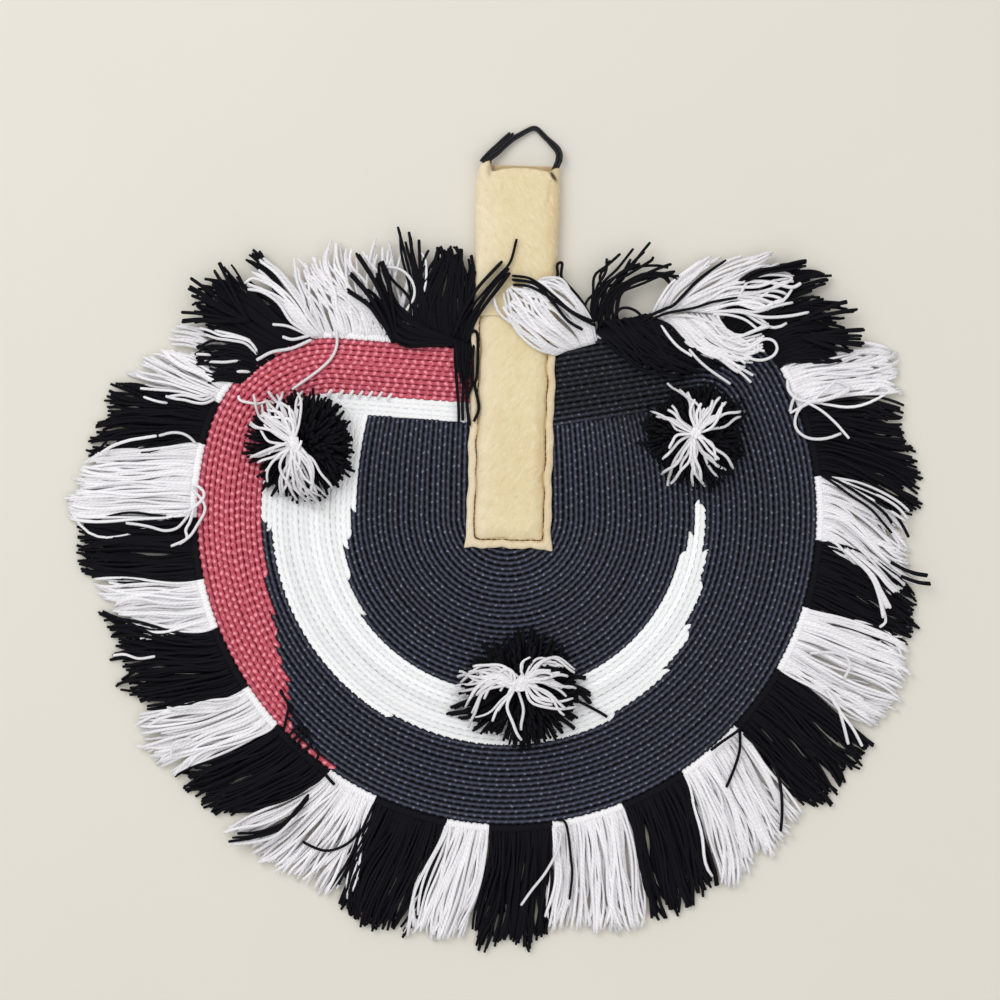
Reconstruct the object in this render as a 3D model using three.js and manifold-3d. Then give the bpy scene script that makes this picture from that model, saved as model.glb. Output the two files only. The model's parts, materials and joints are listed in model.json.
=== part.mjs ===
// A woven wall fan lying on its back: a coiled plate of wrapped strip with a leather-covered handle,
// a yarn fringe sewn round its rim, three yarn pompoms on its front and a cord loop to hang it by.
// Millimetres. X runs across the fan, Y up along its handle and Z out of its front. The sizes below are
// measured from the centre of the coil, and the finished fan is then centred over the origin, on the
// surface that it lies on.
import * as THREE from "three";
import { mergeVertices } from "three/addons/utils/BufferGeometryUtils.js";
import Module from "manifold-3d";

const wasm = await Module();
wasm.setup();

// Fits
const clearance = 0.3; // between two neighbouring pieces
const leather = 1.3; // thickness of the hide

// Coiled plate
const plateRadius = 154.5;
const plateThickness = 3.6;
const rimRowPitch = 2.65;
const rimRowCount = 15; // rows that go on round the shoulders to the handle
const centreRowCount = 39; // rows that only go round the foot of the handle
const neckHeight = 81; // the dip of the top edge, above the coil's centre
const leftShoulderSlope = 4.5; // degrees
const leftShoulderRadius = 62;
const rightShoulderSlope = 9; // degrees
const rightShoulderRadius = 45;
const arcStep = 6; // degrees between two points of a curve
const rowLap = 0.3; // how far a row reaches into the next one of its colour

// Where the strip changes colour, in degrees round the coil from its left side, one value a row.
const centreWhiteFirstRow = 24;
const centreWhiteEnds = [9.5, 12, 20, 25, 36, 168, 174, 184, 183, 170, 161, 149, 147, 136, 118];
const rimWhiteEnds = [85, 8, 2];
const rimRedEnds = [14, 23, 27, 30, 33.5, 37, 38.5, 40, 41.5, 43, 44.5, 55.5];

// Handle
const handleLean = 1.6; // degrees, to the right
const handleOffset = 1; // of its axis from the coil's centre
const tongueWidth = 24;
const tongueThickness = 5;
const panelWidth = 43;
const panelTail = 16.5; // how far the panels reach below the coil's centre
const panelTop = 98.7; // how far they reach above it
const panelFlange = 5.5; // the flat edge round the padded middle
const panelRise = 5; // the slope from the flange up to the middle
const seamInset = 4; // from the edge of a panel to its stitching
const seamWidth = 0.8;
const seamDepth = 0.5;
const gripLength = 76;
const gripWidth = 42;
const coreThickness = 6.4;
const eyeletRadius = 1.3;
const eyeletDrop = 5.7; // from the sleeve's open end

// Hanging loop
const cordRadius = 1.9;
const knotRadius = 2.7;
const knotDrop = 5; // from the sleeve's open end
const loopLeft = -16.8; // where the cord leaves the sleeve, across the handle
const loopRight = 17.4;

// Fringe
const fringeLength = 55; // of an average tassel, past the plate's edge
const headerWidth = 3;
const headerThickness = 3;
const headerSag = 0.2; // how far the straight runs of the header's outer side bulge past its curve
const fringeRootThickness = 3;
const fringeBelly = 7;
const fringeTipThickness = 3.4;
const tipBulge = 5; // how far the middle of a tassel reaches past its two corners

// Pompoms
const pompomHeight = 14;
const tuftThickness = 2;
const tieRadius = 0.6;
const tieKnotRadius = 3;
const tieKnotThickness = 1.8;

// Heights above the surface that the fan lies on
const gripHalfThickness = coreThickness / 2 + clearance + leather;
const middle = gripHalfThickness; // the plane through the middle of the plate and the handle
const plateBottom = middle - plateThickness / 2;
const plateTop = middle + plateThickness / 2;
const handleTop = middle + gripHalfThickness;

const rimWidth = rimRowPitch * rimRowCount;
const centreRadius = plateRadius - rimWidth;
const centreFirstRadius = tongueWidth / 2 + clearance;
const centreRowPitch = (centreRadius - centreFirstRadius) / centreRowCount;
const gripTop = panelTop + clearance + gripLength;

const degrees = Math.PI / 180;
const plan = (x, y) => new THREE.Vector2(x, y);
const polar = (radius, angle) => plan(radius * Math.cos(angle * degrees), radius * Math.sin(angle * degrees));
const angleOf = (point) => Math.atan2(point.y, point.x) / degrees;

const finish = (color, roughness, metalness = 0) => new THREE.MeshStandardMaterial({ color, roughness, metalness });
const materials = {
  darkStrip: finish(0x2e303a, 0.42),
  whiteStrip: finish(0xeceef0, 0.45),
  redStrip: finish(0xa8374a, 0.45),
  blackYarn: finish(0x15151b, 0.9),
  whiteYarn: finish(0xdedde0, 0.9),
  hide: finish(0xdcc896, 0.6),
  wood: finish(0xb08a58, 0.65),
  thread: finish(0x7a5230, 0.8),
  blackCord: finish(0x1c1c20, 0.55),
};

const fan = new THREE.Group();
const handle = new THREE.Group();
handle.position.x = handleOffset;
handle.rotation.z = -handleLean * degrees;
handle.updateMatrix();
fan.add(handle);

function solidFrom(geometry, matrix = null) {
  const bare = geometry.clone();
  bare.deleteAttribute("normal");
  bare.deleteAttribute("uv");
  if (matrix) bare.applyMatrix4(matrix);
  const merged = mergeVertices(bare, 1e-4);
  const vertProperties = merged.attributes.position.array;
  const triVerts = new Uint32Array(merged.index.array);
  return new wasm.Manifold(new wasm.Mesh({ numProp: 3, vertProperties, triVerts }));
}

function geometryFrom(solid) {
  const { numProp, vertProperties, triVerts } = solid.getMesh();
  const geometry = new THREE.BufferGeometry();
  const points = new THREE.InterleavedBuffer(vertProperties, numProp);
  geometry.setAttribute("position", new THREE.InterleavedBufferAttribute(points, 3, 0));
  geometry.setIndex(new THREE.BufferAttribute(triVerts, 1));
  const separate = geometry.toNonIndexed();
  separate.computeVertexNormals();
  return separate;
}

function addPiece(parent, name, shape, material) {
  const geometry = shape.isBufferGeometry ? shape : geometryFrom(shape);
  const mesh = new THREE.Mesh(geometry, material);
  mesh.name = name;
  parent.add(mesh);
}

const joined = (solids) => solids.reduce((sum, solid) => sum.add(solid));

// A flat outline raised from one height to another.
function prism(points, low, high) {
  const geometry = new THREE.ExtrudeGeometry(new THREE.Shape(points), { depth: high - low, bevelEnabled: false });
  return geometry.translate(0, 0, low);
}

const plateSlab = (points) => solidFrom(prism(points, plateBottom, plateTop));

// A round body on an upright axis, from a profile of [radius, height] pairs.
function turned(profile, segments, x, y) {
  const geometry = new THREE.LatheGeometry(profile.map(([radius, height]) => plan(radius, height)), segments);
  return geometry.rotateX(Math.PI / 2).translate(x, y, 0);
}

const rod = (radius, low, high, x, y, segments = 16) =>
  turned([[0, low], [radius, low], [radius, high], [0, high]], segments, x, y);

// Points of an arc, ends included, at an even step.
function arc(centre, radius, from, to) {
  const count = Math.max(1, Math.ceil(Math.abs(to - from) / arcStep));
  return Array.from({ length: count + 1 }, (_, i) => polar(radius, from + ((to - from) * i) / count).add(centre));
}

// The closed body through rings of points that all run the same way round. Each ring has an even
// number of points: first those of one side, then those of the other side back again.
function loft(rings) {
  const size = rings[0].length;
  const index = [];
  for (let ring = 0; ring < rings.length - 1; ring += 1) {
    for (let i = 0; i < size; i += 1) {
      const here = ring * size + i;
      const next = ring * size + ((i + 1) % size);
      index.push(here, next, next + size, here, next + size, here + size);
    }
  }
  const last = (rings.length - 1) * size;
  const cap = (a, b, c) => index.push(a, c, b, last + a, last + b, last + c);
  for (let i = 0; i < size / 2; i += 1) {
    const opposite = size - i - 1;
    if (i > 0) cap(i, opposite, opposite + 1);
    if (i + 1 < size / 2) cap(i, i + 1, opposite);
  }
  const geometry = new THREE.BufferGeometry().setFromPoints(rings.flat());
  return geometry.setIndex(index);
}

// Outline of the plate

const neck = plan(handleOffset + neckHeight * Math.tan(handleLean * degrees), neckHeight);

// One shoulder: the straight top edge on that side, and the corner that leads into the round rim.
function shoulder(side, slope, radius) {
  const normal = plan(-side * Math.sin(slope * degrees), Math.cos(slope * degrees));
  const outward = plan(side * Math.cos(slope * degrees), Math.sin(slope * degrees));
  const height = normal.dot(neck);
  const rise = height - radius;
  const reach = Math.sqrt((plateRadius - radius) ** 2 - rise ** 2);
  const centre = normal.clone().multiplyScalar(rise).addScaledVector(outward, reach);
  return { normal, height, radius, centre };
}

const left = shoulder(-1, leftShoulderSlope, leftShoulderRadius);
const right = shoulder(1, rightShoulderSlope, rightShoulderRadius);

// The dip in the top edge of a row that lies inset from the plate's edge.
function dip(inset) {
  const [a, b] = [left.normal, right.normal];
  const [p, q] = [left.height - inset, right.height - inset];
  const across = a.x * b.y - a.y * b.x;
  return plan((p * b.y - q * a.y) / across, (a.x * q - b.x * p) / across);
}

// A row of the rim, from the dip leftwards round the plate. It stops at an angle on the round part,
// or comes back to the dip.
function rimRow(inset, stop = null) {
  const start = angleOf(left.centre);
  const end = angleOf(right.centre) + 360;
  const points = [dip(inset)];
  points.push(...arc(left.centre, left.radius - inset, angleOf(left.normal), start));
  points.push(...arc(plan(0, 0), plateRadius - inset, start, stop ?? end).slice(1));
  if (stop === null) points.push(...arc(right.centre, right.radius - inset, end - 360, angleOf(right.normal)).slice(1));
  return points;
}

// A row of the centre: a round foot with two legs that bend inwards more the further out they are.
const legBend = 2.2;
function centreRow(radius, stop) {
  const legTop = Math.min(neckHeight, 0.8 * radius);
  const legSteps = 6;
  const bend = (radius / centreRadius) ** legBend;
  const leg = (side, height) => plan(side * Math.sqrt(radius ** 2 - bend * height ** 2), height);
  const points = Array.from({ length: legSteps }, (_, i) => leg(-1, legTop * (1 - i / legSteps)));
  points.push(...arc(plan(0, 0), radius, 180, 180 + Math.min(stop, 180)));
  if (stop > 180) points.push(leg(1, radius * Math.sin((stop - 180) * degrees)));
  return points;
}

const strip = (outer, inner) => plateSlab([...outer, ...inner.reverse()]);

// The rows of one colour, each a little larger all round by grow.
function rimRows(firstRow, ends, grow) {
  return joined(
    ends.map((end, i) => {
      const outer = rimWidth - (firstRow + i + 1) * rimRowPitch - rowLap - grow;
      const inner = rimWidth - (firstRow + i) * rimRowPitch + grow;
      const stop = 180 + end + grow / plateRadius / degrees;
      return strip(rimRow(outer, stop), rimRow(inner, stop));
    }),
  );
}

function centreRows(firstRow, ends, grow) {
  return joined(
    ends.map((end, i) => {
      const inner = centreFirstRadius + (firstRow + i) * centreRowPitch - grow;
      const outer = inner + centreRowPitch + rowLap + 2 * grow;
      const stop = end + grow / inner / degrees;
      return strip(centreRow(outer, stop), centreRow(inner, stop));
    }),
  );
}

// Where a line from the coil's centre at an angle crosses the plate's edge, moved outwards by an offset.
function edgeAt(angle, offset) {
  const outline = rimRow(-offset);
  const ray = polar(1, angle);
  for (let i = 0; i < outline.length; i += 1) {
    const a = outline[i];
    const side = outline[(i + 1) % outline.length].clone().sub(a);
    const across = ray.x * side.y - ray.y * side.x;
    const along = (a.x * side.y - a.y * side.x) / across;
    const share = (a.x * ray.y - a.y * ray.x) / across;
    if (along > 0 && share >= 0 && share <= 1) return ray.multiplyScalar(along);
  }
  throw new Error("no edge at that angle");
}

// Pompoms: the direction of each from the coil's centre, how far in from the plate's rim it is, its radius,
// and the radius of the white tuft on top.
const pompoms = [
  { name: "left", angle: 160.9, inset: 47.6, radius: 25.5, tuft: 19 },
  { name: "right", angle: 23.05, inset: 52.3, radius: 25, tuft: 19 },
  { name: "lower", angle: 274.9, inset: 67.2, radius: 28.5, tuft: 22 },
];
const pompomPlace = ({ angle, inset }) => polar(plateRadius - inset, angle);

function tieHoles() {
  const hole = tieRadius + clearance;
  const drill = ({ x, y }) => solidFrom(rod(hole, plateBottom - 1, plateTop + 1, x, y, 12));
  return joined(pompoms.map((pompom) => drill(pompomPlace(pompom))));
}

// The wooden core's tongue, seen from the front.
function tongueOutline(grow) {
  const half = tongueWidth / 2 + grow;
  return [plan(half, panelTop + 1), plan(-half, panelTop + 1), ...arc(plan(0, 0), half, 180, 360)];
}

function addPlate() {
  const slot = solidFrom(prism(tongueOutline(clearance), plateBottom - 1, plateTop + 1), handle.matrix);
  const cut = slot.add(tieHoles());
  const centre = plateSlab(rimRow(rimWidth + clearance / 2));
  const rim = plateSlab(rimRow(0)).subtract(plateSlab(rimRow(rimWidth - clearance / 2)));
  const redFirstRow = rimWhiteEnds.length;
  const piece = (name, solid, material) => addPiece(fan, name, solid.subtract(cut), material);
  piece(
    "centre_coil_dark",
    centre.subtract(centreRows(centreWhiteFirstRow, centreWhiteEnds, clearance)),
    materials.darkStrip,
  );
  piece(
    "centre_coil_white",
    centre.intersect(centreRows(centreWhiteFirstRow, centreWhiteEnds, 0)),
    materials.whiteStrip,
  );
  piece(
    "rim_coil_black",
    rim
      .subtract(rimRows(0, rimWhiteEnds, clearance))
      .subtract(rimRows(redFirstRow, rimRedEnds, clearance)),
    materials.darkStrip,
  );
  piece("rim_coil_white", rim.intersect(rimRows(0, rimWhiteEnds, 0)), materials.whiteStrip);
  piece(
    "rim_coil_red",
    rim.intersect(rimRows(redFirstRow, rimRedEnds, 0)).subtract(rimRows(0, rimWhiteEnds, clearance)),
    materials.redStrip,
  );
}

// Handle, in its own frame: X across it and Y along it

// A leather panel with a flat flange and a padded middle. side is 1 in front and -1 behind.
function paddedPanel(side) {
  const inner = (inset) => {
    const share = THREE.MathUtils.clamp((inset - panelFlange) / panelRise, 0, 1);
    return share * share * (3 - 2 * share);
  };
  const flange = plateThickness / 2 + clearance;
  const padded = tongueThickness / 2 + clearance;
  const across = [0, 0.6, panelFlange, 7.2, 8.6, 10.5, panelWidth / 2];
  const columns = [...across.map((x) => x - panelWidth / 2), ...across.slice(0, -1).reverse().map((x) => panelWidth / 2 - x)];
  const length = panelTop + panelTail;
  const rows = [0, 0.6, panelFlange, 7.2, 8.6, 10.5, length / 2, length - 0.6, length];
  const tongueFoot = panelTail - tongueWidth / 2;
  const level = (x, y, outside) => {
    const inset = Math.min(panelWidth / 2 - Math.abs(x), y);
    if (outside) {
      const edge = Math.min(inset, length - y) < 0.3 ? 0.35 : 0;
      return flange + leather - edge + (gripHalfThickness - flange - leather) * inner(inset);
    }
    const overTongue = Math.abs(x) < tongueWidth / 2 + 2 && y > tongueFoot - 2;
    return overTongue ? padded : flange;
  };
  const width = columns.length;
  const points = [true, false].flatMap((outside) =>
    rows.flatMap((y) => columns.map((x) => new THREE.Vector3(x, y - panelTail, middle + side * level(x, y, outside)))),
  );
  const index = [];
  const face = (a, b, c) => (side > 0 ? index.push(a, b, c) : index.push(a, c, b));
  const under = width * rows.length;
  const wall = (a, b) => {
    face(a, a + under, b);
    face(b, a + under, b + under);
  };
  for (let row = 0; row < rows.length - 1; row += 1) {
    for (let column = 0; column < width - 1; column += 1) {
      const a = row * width + column;
      face(a, a + 1, a + width + 1);
      face(a, a + width + 1, a + width);
      face(a + under, a + width + 1 + under, a + 1 + under);
      face(a + under, a + width + under, a + width + 1 + under);
    }
    wall((row + 1) * width, row * width);
    wall(row * width + width - 1, (row + 1) * width + width - 1);
  }
  for (let column = 0; column < width - 1; column += 1) {
    wall(column, column + 1);
    wall((rows.length - 1) * width + column + 1, (rows.length - 1) * width + column);
  }
  return solidFrom(new THREE.BufferGeometry().setFromPoints(points).setIndex(index));
}

// The line of stitching down one side of a panel, across its foot and up the other side.
function seamOutline(width) {
  const outer = panelWidth / 2 - seamInset + width / 2;
  const inner = outer - width;
  const foot = seamInset - panelTail;
  const top = panelTop - seamInset / 2 + (width - seamWidth) / 2;
  return [
    plan(-outer, top),
    plan(-outer, foot - width / 2),
    plan(outer, foot - width / 2),
    plan(outer, top),
    plan(inner, top),
    plan(inner, foot + width / 2),
    plan(-inner, foot + width / 2),
    plan(-inner, top),
  ];
}

function addPanel(side, panelName, seamName) {
  const surface = middle + side * (plateThickness / 2 + clearance + leather);
  const layer = (width, deep, proud) => {
    const [a, b] = [surface - side * deep, surface + side * proud];
    return solidFrom(prism(seamOutline(width), Math.min(a, b), Math.max(a, b)));
  };
  const groove = layer(seamWidth + 2 * clearance, seamDepth + clearance, 1);
  addPiece(handle, panelName, paddedPanel(side).subtract(groove), materials.hide);
  addPiece(handle, seamName, layer(seamWidth, seamDepth, 0), materials.thread);
}

// A flat bar's section with round edges, run along the handle.
function flatBar(width, thickness, from, to) {
  const radius = thickness / 2;
  const reach = width / 2 - radius;
  const section = [...arc(plan(reach, 0), radius, -90, 90), ...arc(plan(-reach, 0), radius, 90, 270)];
  const geometry = new THREE.ExtrudeGeometry(new THREE.Shape(section), { depth: to - from, bevelEnabled: false });
  return solidFrom(geometry.rotateX(Math.PI / 2).translate(0, to, middle));
}

function addGrip() {
  const sleeveFoot = panelTop + clearance;
  const wall = leather + clearance;
  const coreWidth = gripWidth - 2 * wall;
  const tongue = prism(tongueOutline(0), middle - tongueThickness / 2, middle + tongueThickness / 2);
  const coreTop = gripTop - knotDrop - knotRadius - clearance;
  const block = flatBar(coreWidth, coreThickness, panelTop + clearance, coreTop);
  addPiece(handle, "handle_core", solidFrom(tongue).add(block), materials.wood);

  const tube = flatBar(gripWidth, 2 * gripHalfThickness, sleeveFoot, gripTop);
  const bore = flatBar(gripWidth - 2 * leather, 2 * (gripHalfThickness - leather), sleeveFoot - 1, gripTop + 1);
  const eyelet = (x) => solidFrom(rod(eyeletRadius, middle, handleTop + 1, x, gripTop - eyeletDrop));
  const seamTop = gripTop - 4;
  const seamFoot = sleeveFoot + 4;
  const seam = (width, low, high) => {
    const half = width / 2;
    const grow = (width - seamWidth) / 2;
    const [foot, top] = [seamFoot - grow, seamTop + grow];
    return solidFrom(prism([plan(-half, foot), plan(half, foot), plan(half, top), plan(-half, top)], low, high));
  };
  const groove = seam(seamWidth + 2 * clearance, -1, seamDepth + clearance);
  const sleeve = tube.subtract(bore).subtract(eyelet(loopLeft + 2)).subtract(eyelet(loopRight - 1)).subtract(groove);
  addPiece(handle, "grip_sleeve", sleeve, materials.hide);
  addPiece(handle, "grip_back_seam", seam(seamWidth, 0.05, seamDepth), materials.thread);
}

// Hanging loop: its route in the handle's frame, as [across, beyond the sleeve's end]. It droops to the surface.
const hingeGap = cordRadius + 2 * clearance; // from the sleeve's end to the line that the loop turns about
const loopRoute = [
  [loopLeft, hingeGap],
  [loopLeft + 1.6, hingeGap + 2.1],
  [-9.8, 9.2],
  [-3.5, 14.4],
  [1.4, 17.3],
  [5, 18.9],
  [7.8, 19.1],
  [10.3, 17.9],
  [13.5, 15],
  [17, 11.9],
  [19.4, 9.4],
  [20.2, 6.9],
  [loopRight + 1.7, hingeGap + 1.9],
  [loopRight, hingeGap],
];

function loopPoints() {
  const furthest = Math.max(...loopRoute.map(([, out]) => out));
  const lowest = cordRadius + 0.1;
  return loopRoute.map(([x, out]) => {
    const droop = ((out - hingeGap) / (furthest - hingeGap)) * (middle - lowest);
    return new THREE.Vector3(x, gripTop + out, middle - droop);
  });
}

function addLoop() {
  const points = loopPoints();
  const route = new THREE.CatmullRomCurve3(points);
  const section = new THREE.Shape(Array.from({ length: 8 }, (_, i) => polar(cordRadius, i * 45)));
  const tube = solidFrom(new THREE.ExtrudeGeometry(section, { steps: 40, extrudePath: route }));
  const end = (point) => solidFrom(new THREE.SphereGeometry(cordRadius, 12, 8).translate(point.x, point.y, point.z));
  addPiece(handle, "hanging_loop", joined([tube, end(points[0]), end(points.at(-1))]), materials.blackCord);

  const inward = knotRadius - cordRadius;
  const tail = (x) => {
    const knotX = x - Math.sign(x) * inward;
    const knotY = gripTop - knotDrop;
    const knot = solidFrom(new THREE.SphereGeometry(knotRadius, 12, 8).translate(knotX, knotY, middle));
    const stem = flatBar(2 * cordRadius, 2 * cordRadius, knotY, gripTop + hingeGap - cordRadius - clearance);
    return knot.add(stem.translate(x, 0, 0));
  };
  addPiece(handle, "loop_knot_left", tail(loopLeft), materials.blackCord);
  addPiece(handle, "loop_knot_right", tail(loopRight), materials.blackCord);
}

// Fringe

// The places round the rim where one tassel ends and the next begins, from the left of the handle
// round the foot of the fan to its right. Each has the angle of its root and the angle of its tip,
// seen from the coil's centre, and the tip's reach past the plate's edge as a share of the fringe's length.
const fringeSteps = [
  [104, 101, 0.8],
  [123, 120, 0.909],
  [137, 132.5, 0.927],
  [154, 151, 0.727],
  [158.8, 161, 0.945],
  [166.8, 172, 1.036],
  [180.5, 180.5, 1.109],
  [191.8, 188.7, 1.082],
  [201.3, 193.4, 0.991],
  [213.4, 209.6, 0.927],
  [222.4, 218.7, 1.027],
  [235.2, 227.7, 0.964],
  [245.2, 244.3, 0.873],
  [258.8, 256.9, 1.082],
  [266.8, 265, 1.027],
  [278.3, 276, 1.055],
  [291.8, 289.1, 1.109],
  [304.2, 299.3, 1.036],
  [317.3, 310.7, 1.064],
  [330.3, 328.1, 1.1],
  [342.9, 342.8, 1.027],
  [355.3, 349.8, 0.964],
  [367.2, 360.4, 0.873],
  [380.2, 376.5, 0.964],
  [388.3, 384.5, 0.945],
  [398.7, 400.8, 0.782],
  [411.2, 415.5, 0.855],
  [421.5, 427, 0.782],
];
const rootOffset = headerWidth + 2 * clearance + headerSag;

// How a tassel's underside and top run from its root to its tip: [share of its length, low, high].
const tasselProfile = [
  [0, middle - fringeRootThickness / 2, middle + fringeRootThickness / 2],
  [0.25, 0.8, fringeBelly],
  [0.65, 0, fringeBelly - 1],
  [1, 0, fringeTipThickness],
];

// The section of a tassel: [share of its width, share of its height].
const tasselSection = [
  [0, 0.5],
  ...[0.15, 0.32, 0.5, 0.68, 0.85].map((share) => [share, 0]),
  [1, 0.5],
  ...[0.85, 0.68, 0.5, 0.32, 0.15].map((share) => [share, 1]),
];

// A point across the sheaf between two places, a little in from both of its sides.
function tasselPoint([rootA, tipA, reachA], [rootB, tipB, reachB], across, along) {
  const side = (1 - 2 * across) * 0.6 * clearance;
  const root = edgeAt(rootA + (rootB - rootA) * across, rootOffset);
  const tip = edgeAt(tipA, fringeLength * reachA).lerp(edgeAt(tipB, fringeLength * reachB), across);
  const width = edgeAt(rootB, rootOffset).sub(edgeAt(rootA, rootOffset)).setLength(side);
  const outward = tip.clone().sub(root).setLength(4 * tipBulge * along * across * (1 - across));
  return root.lerp(tip, along).add(width).add(outward);
}

function tassel(from, to) {
  return loft(
    tasselProfile.map(([along, low, high]) =>
      tasselSection.map(([across, up]) => {
        const point = tasselPoint(from, to, across, along);
        return new THREE.Vector3(point.x, point.y, low + (high - low) * up);
      }),
    ),
  );
}

// A lock of yarn that lies over something: stations of [x, y, underside, width, thickness], with x and y
// counted from the dip in the plate's top edge.
function lock(stations) {
  const line = stations.map(([x, y]) => plan(x, y).add(neck));
  return loft(
    stations.map(([, , low, width, thickness], i) => {
      const ahead = line[Math.min(i + 1, line.length - 1)].clone().sub(line[Math.max(i - 1, 0)]).setLength(width);
      return tasselSection.map(([across, up]) => {
        const share = across - 0.5;
        return new THREE.Vector3(line[i].x - ahead.y * share, line[i].y + ahead.x * share, low + thickness * up);
      });
    }),
  );
}

// What a lock has to stay clear of: the handle, and the plate with its header.
function keepOut() {
  const half = panelWidth / 2 + clearance;
  const foot = -panelTail - clearance;
  const top = gripTop + clearance;
  const bar = [plan(-half, foot), plan(half, foot), plan(half, top), plan(-half, top)];
  const underHandle = solidFrom(prism(bar, -1, handleTop + clearance), handle.matrix);
  const underPlate = solidFrom(prism(rimRow(-headerWidth - 2 * clearance), -1, plateTop + clearance));
  return underHandle.add(underPlate);
}

function addFringe() {
  const count = fringeSteps.length;
  for (let i = 0; i < count - 1; i += 1) {
    const black = i % 2 === 0;
    const name = `tassel_${String(i + 1).padStart(2, "0")}_${black ? "black" : "white"}`;
    addPiece(fan, name, tassel(fringeSteps[i], fringeSteps[i + 1]), black ? materials.blackYarn : materials.whiteYarn);
  }

  const cut = keepOut();
  const over = handleTop + clearance;
  const onPlate = plateTop + clearance;
  const root = edgeAt(66, rootOffset).sub(neck);
  const locks = {
    tassel_28_white: [
      [root.x, root.y, middle - fringeRootThickness / 2, 17, fringeRootThickness],
      [root.x - 3, root.y + 3, middle, 19, 6],
      [20.7, 18, over, 26, 5],
      [8.2, 26.5, over, 22, 4.5],
      [-3.3, 33.5, over, 6, 2.5],
    ],
    tassel_01_lock_over_handle: [
      [-22.3, 22, over - 2, 11, 4],
      [-15.3, 30, over, 9, 3.5],
      [-8.3, 40, over, 8, 3],
      [-0.3, 52, over, 3, 2],
    ],
    tassel_01_lock_beside_handle: [
      [-24.8, 7, onPlate, 6, 3],
      [-24.8, -7, onPlate, 8, 4],
      [-23.8, -19, onPlate, 7, 4],
      [-21.8, -34, onPlate, 3, 2.5],
    ],
    tassel_27_lock_over_plate: [
      [53.7, 7, onPlate, 22, 4],
      [70.7, 3, onPlate, 20, 5],
      [88.7, -5, onPlate, 16, 5],
      [108.7, -11, onPlate, 8, 3.5],
    ],
  };
  for (const [name, stations] of Object.entries(locks)) {
    const material = name.endsWith("white") ? materials.whiteYarn : materials.blackYarn;
    addPiece(fan, name, solidFrom(lock(stations)).subtract(cut), material);
  }
}

// The sewn heading that the yarn hangs from, round the plate's edge from one side of the handle to the other.
function addHeader() {
  const low = middle - headerThickness / 2;
  const high = middle + headerThickness / 2;
  const outer = solidFrom(prism(rimRow(-clearance - headerWidth), low, high));
  const inner = solidFrom(prism(rimRow(-clearance), low - 1, high + 1));
  addPiece(fan, "fringe_header", outer.subtract(inner).subtract(headerGap()), materials.blackYarn);
}

// The stretch of the rim that the handle covers.
function headerGap() {
  const half = panelWidth / 2 + clearance;
  const [foot, top] = [neckHeight / 2, panelTop + 10];
  const bar = [plan(-half, foot), plan(half, foot), plan(half, top), plan(-half, top)];
  return solidFrom(prism(bar, -1, handleTop + 1), handle.matrix);
}

function addPompoms() {
  const seat = plateTop + clearance;
  const dome = (radius, share) => pompomHeight * Math.sqrt(Math.max(0, 1 - (share * radius) ** 2 / radius ** 2));
  for (const pompom of pompoms) {
    const { name, radius, tuft } = pompom;
    const { x, y } = pompomPlace(pompom);
    const shares = [0, 0.25, 0.45, 0.65, 0.8, 0.92, 1];
    const ball = [[0, seat], [radius * 0.86, seat], [radius, seat + 2.6]];
    for (const share of shares.slice(0, -1).reverse()) ball.push([share * radius, seat + 2.6 + dome(radius, share)]);
    const socket = solidFrom(rod(tieRadius + clearance, seat - 1, seat + 4, x, y, 12));
    addPiece(fan, `pompom_${name}_black`, solidFrom(turned(ball, 24, x, y)).subtract(socket), materials.blackYarn);

    const tuftShares = [0, 0.3, 0.6, 0.85, 1].map((share) => (share * tuft) / radius);
    const level = (share) => seat + 2.6 + dome(radius, share);
    const underside = tuftShares.map((share) => [share * radius, level(share) + clearance]);
    const outside = tuftShares.map((share) => [share * radius, level(share) + clearance + tuftThickness]).reverse();
    addPiece(fan, `pompom_${name}_tuft`, turned([...underside, ...outside], 20, x, y), materials.whiteYarn);

    const knotTop = plateBottom - clearance;
    const knotFoot = knotTop - tieKnotThickness;
    const tie = [
      [0, knotFoot],
      [tieKnotRadius * 0.7, knotFoot],
      [tieKnotRadius, knotTop - 0.7],
      [tieKnotRadius * 0.7, knotTop],
      [tieRadius, knotTop],
      [tieRadius, seat + 3],
      [0, seat + 3],
    ];
    addPiece(fan, `pompom_${name}_tie`, turned(tie, 12, x, y), materials.blackYarn);
  }
}

addPlate();
addHeader();
addPanel(1, "front_panel", "front_panel_seam");
addPanel(-1, "back_panel", "back_panel_seam");
addGrip();
addLoop();
addFringe();
addPompoms();

const box = new THREE.Box3().setFromObject(fan, true);
const centre = box.getCenter(new THREE.Vector3());
fan.position.set(-centre.x, -centre.y, -box.min.z);

const wallFan = new THREE.Group();
wallFan.name = "wall_fan";
wallFan.add(fan);

export default wallFan;
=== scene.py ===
"""A woven wall fan lying on its back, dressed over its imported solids: a coiled plate of stitched strip, a
leather-covered handle with a hanging loop, a yarn fringe round the rim and three yarn pompoms."""

import json
import math
import random

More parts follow.
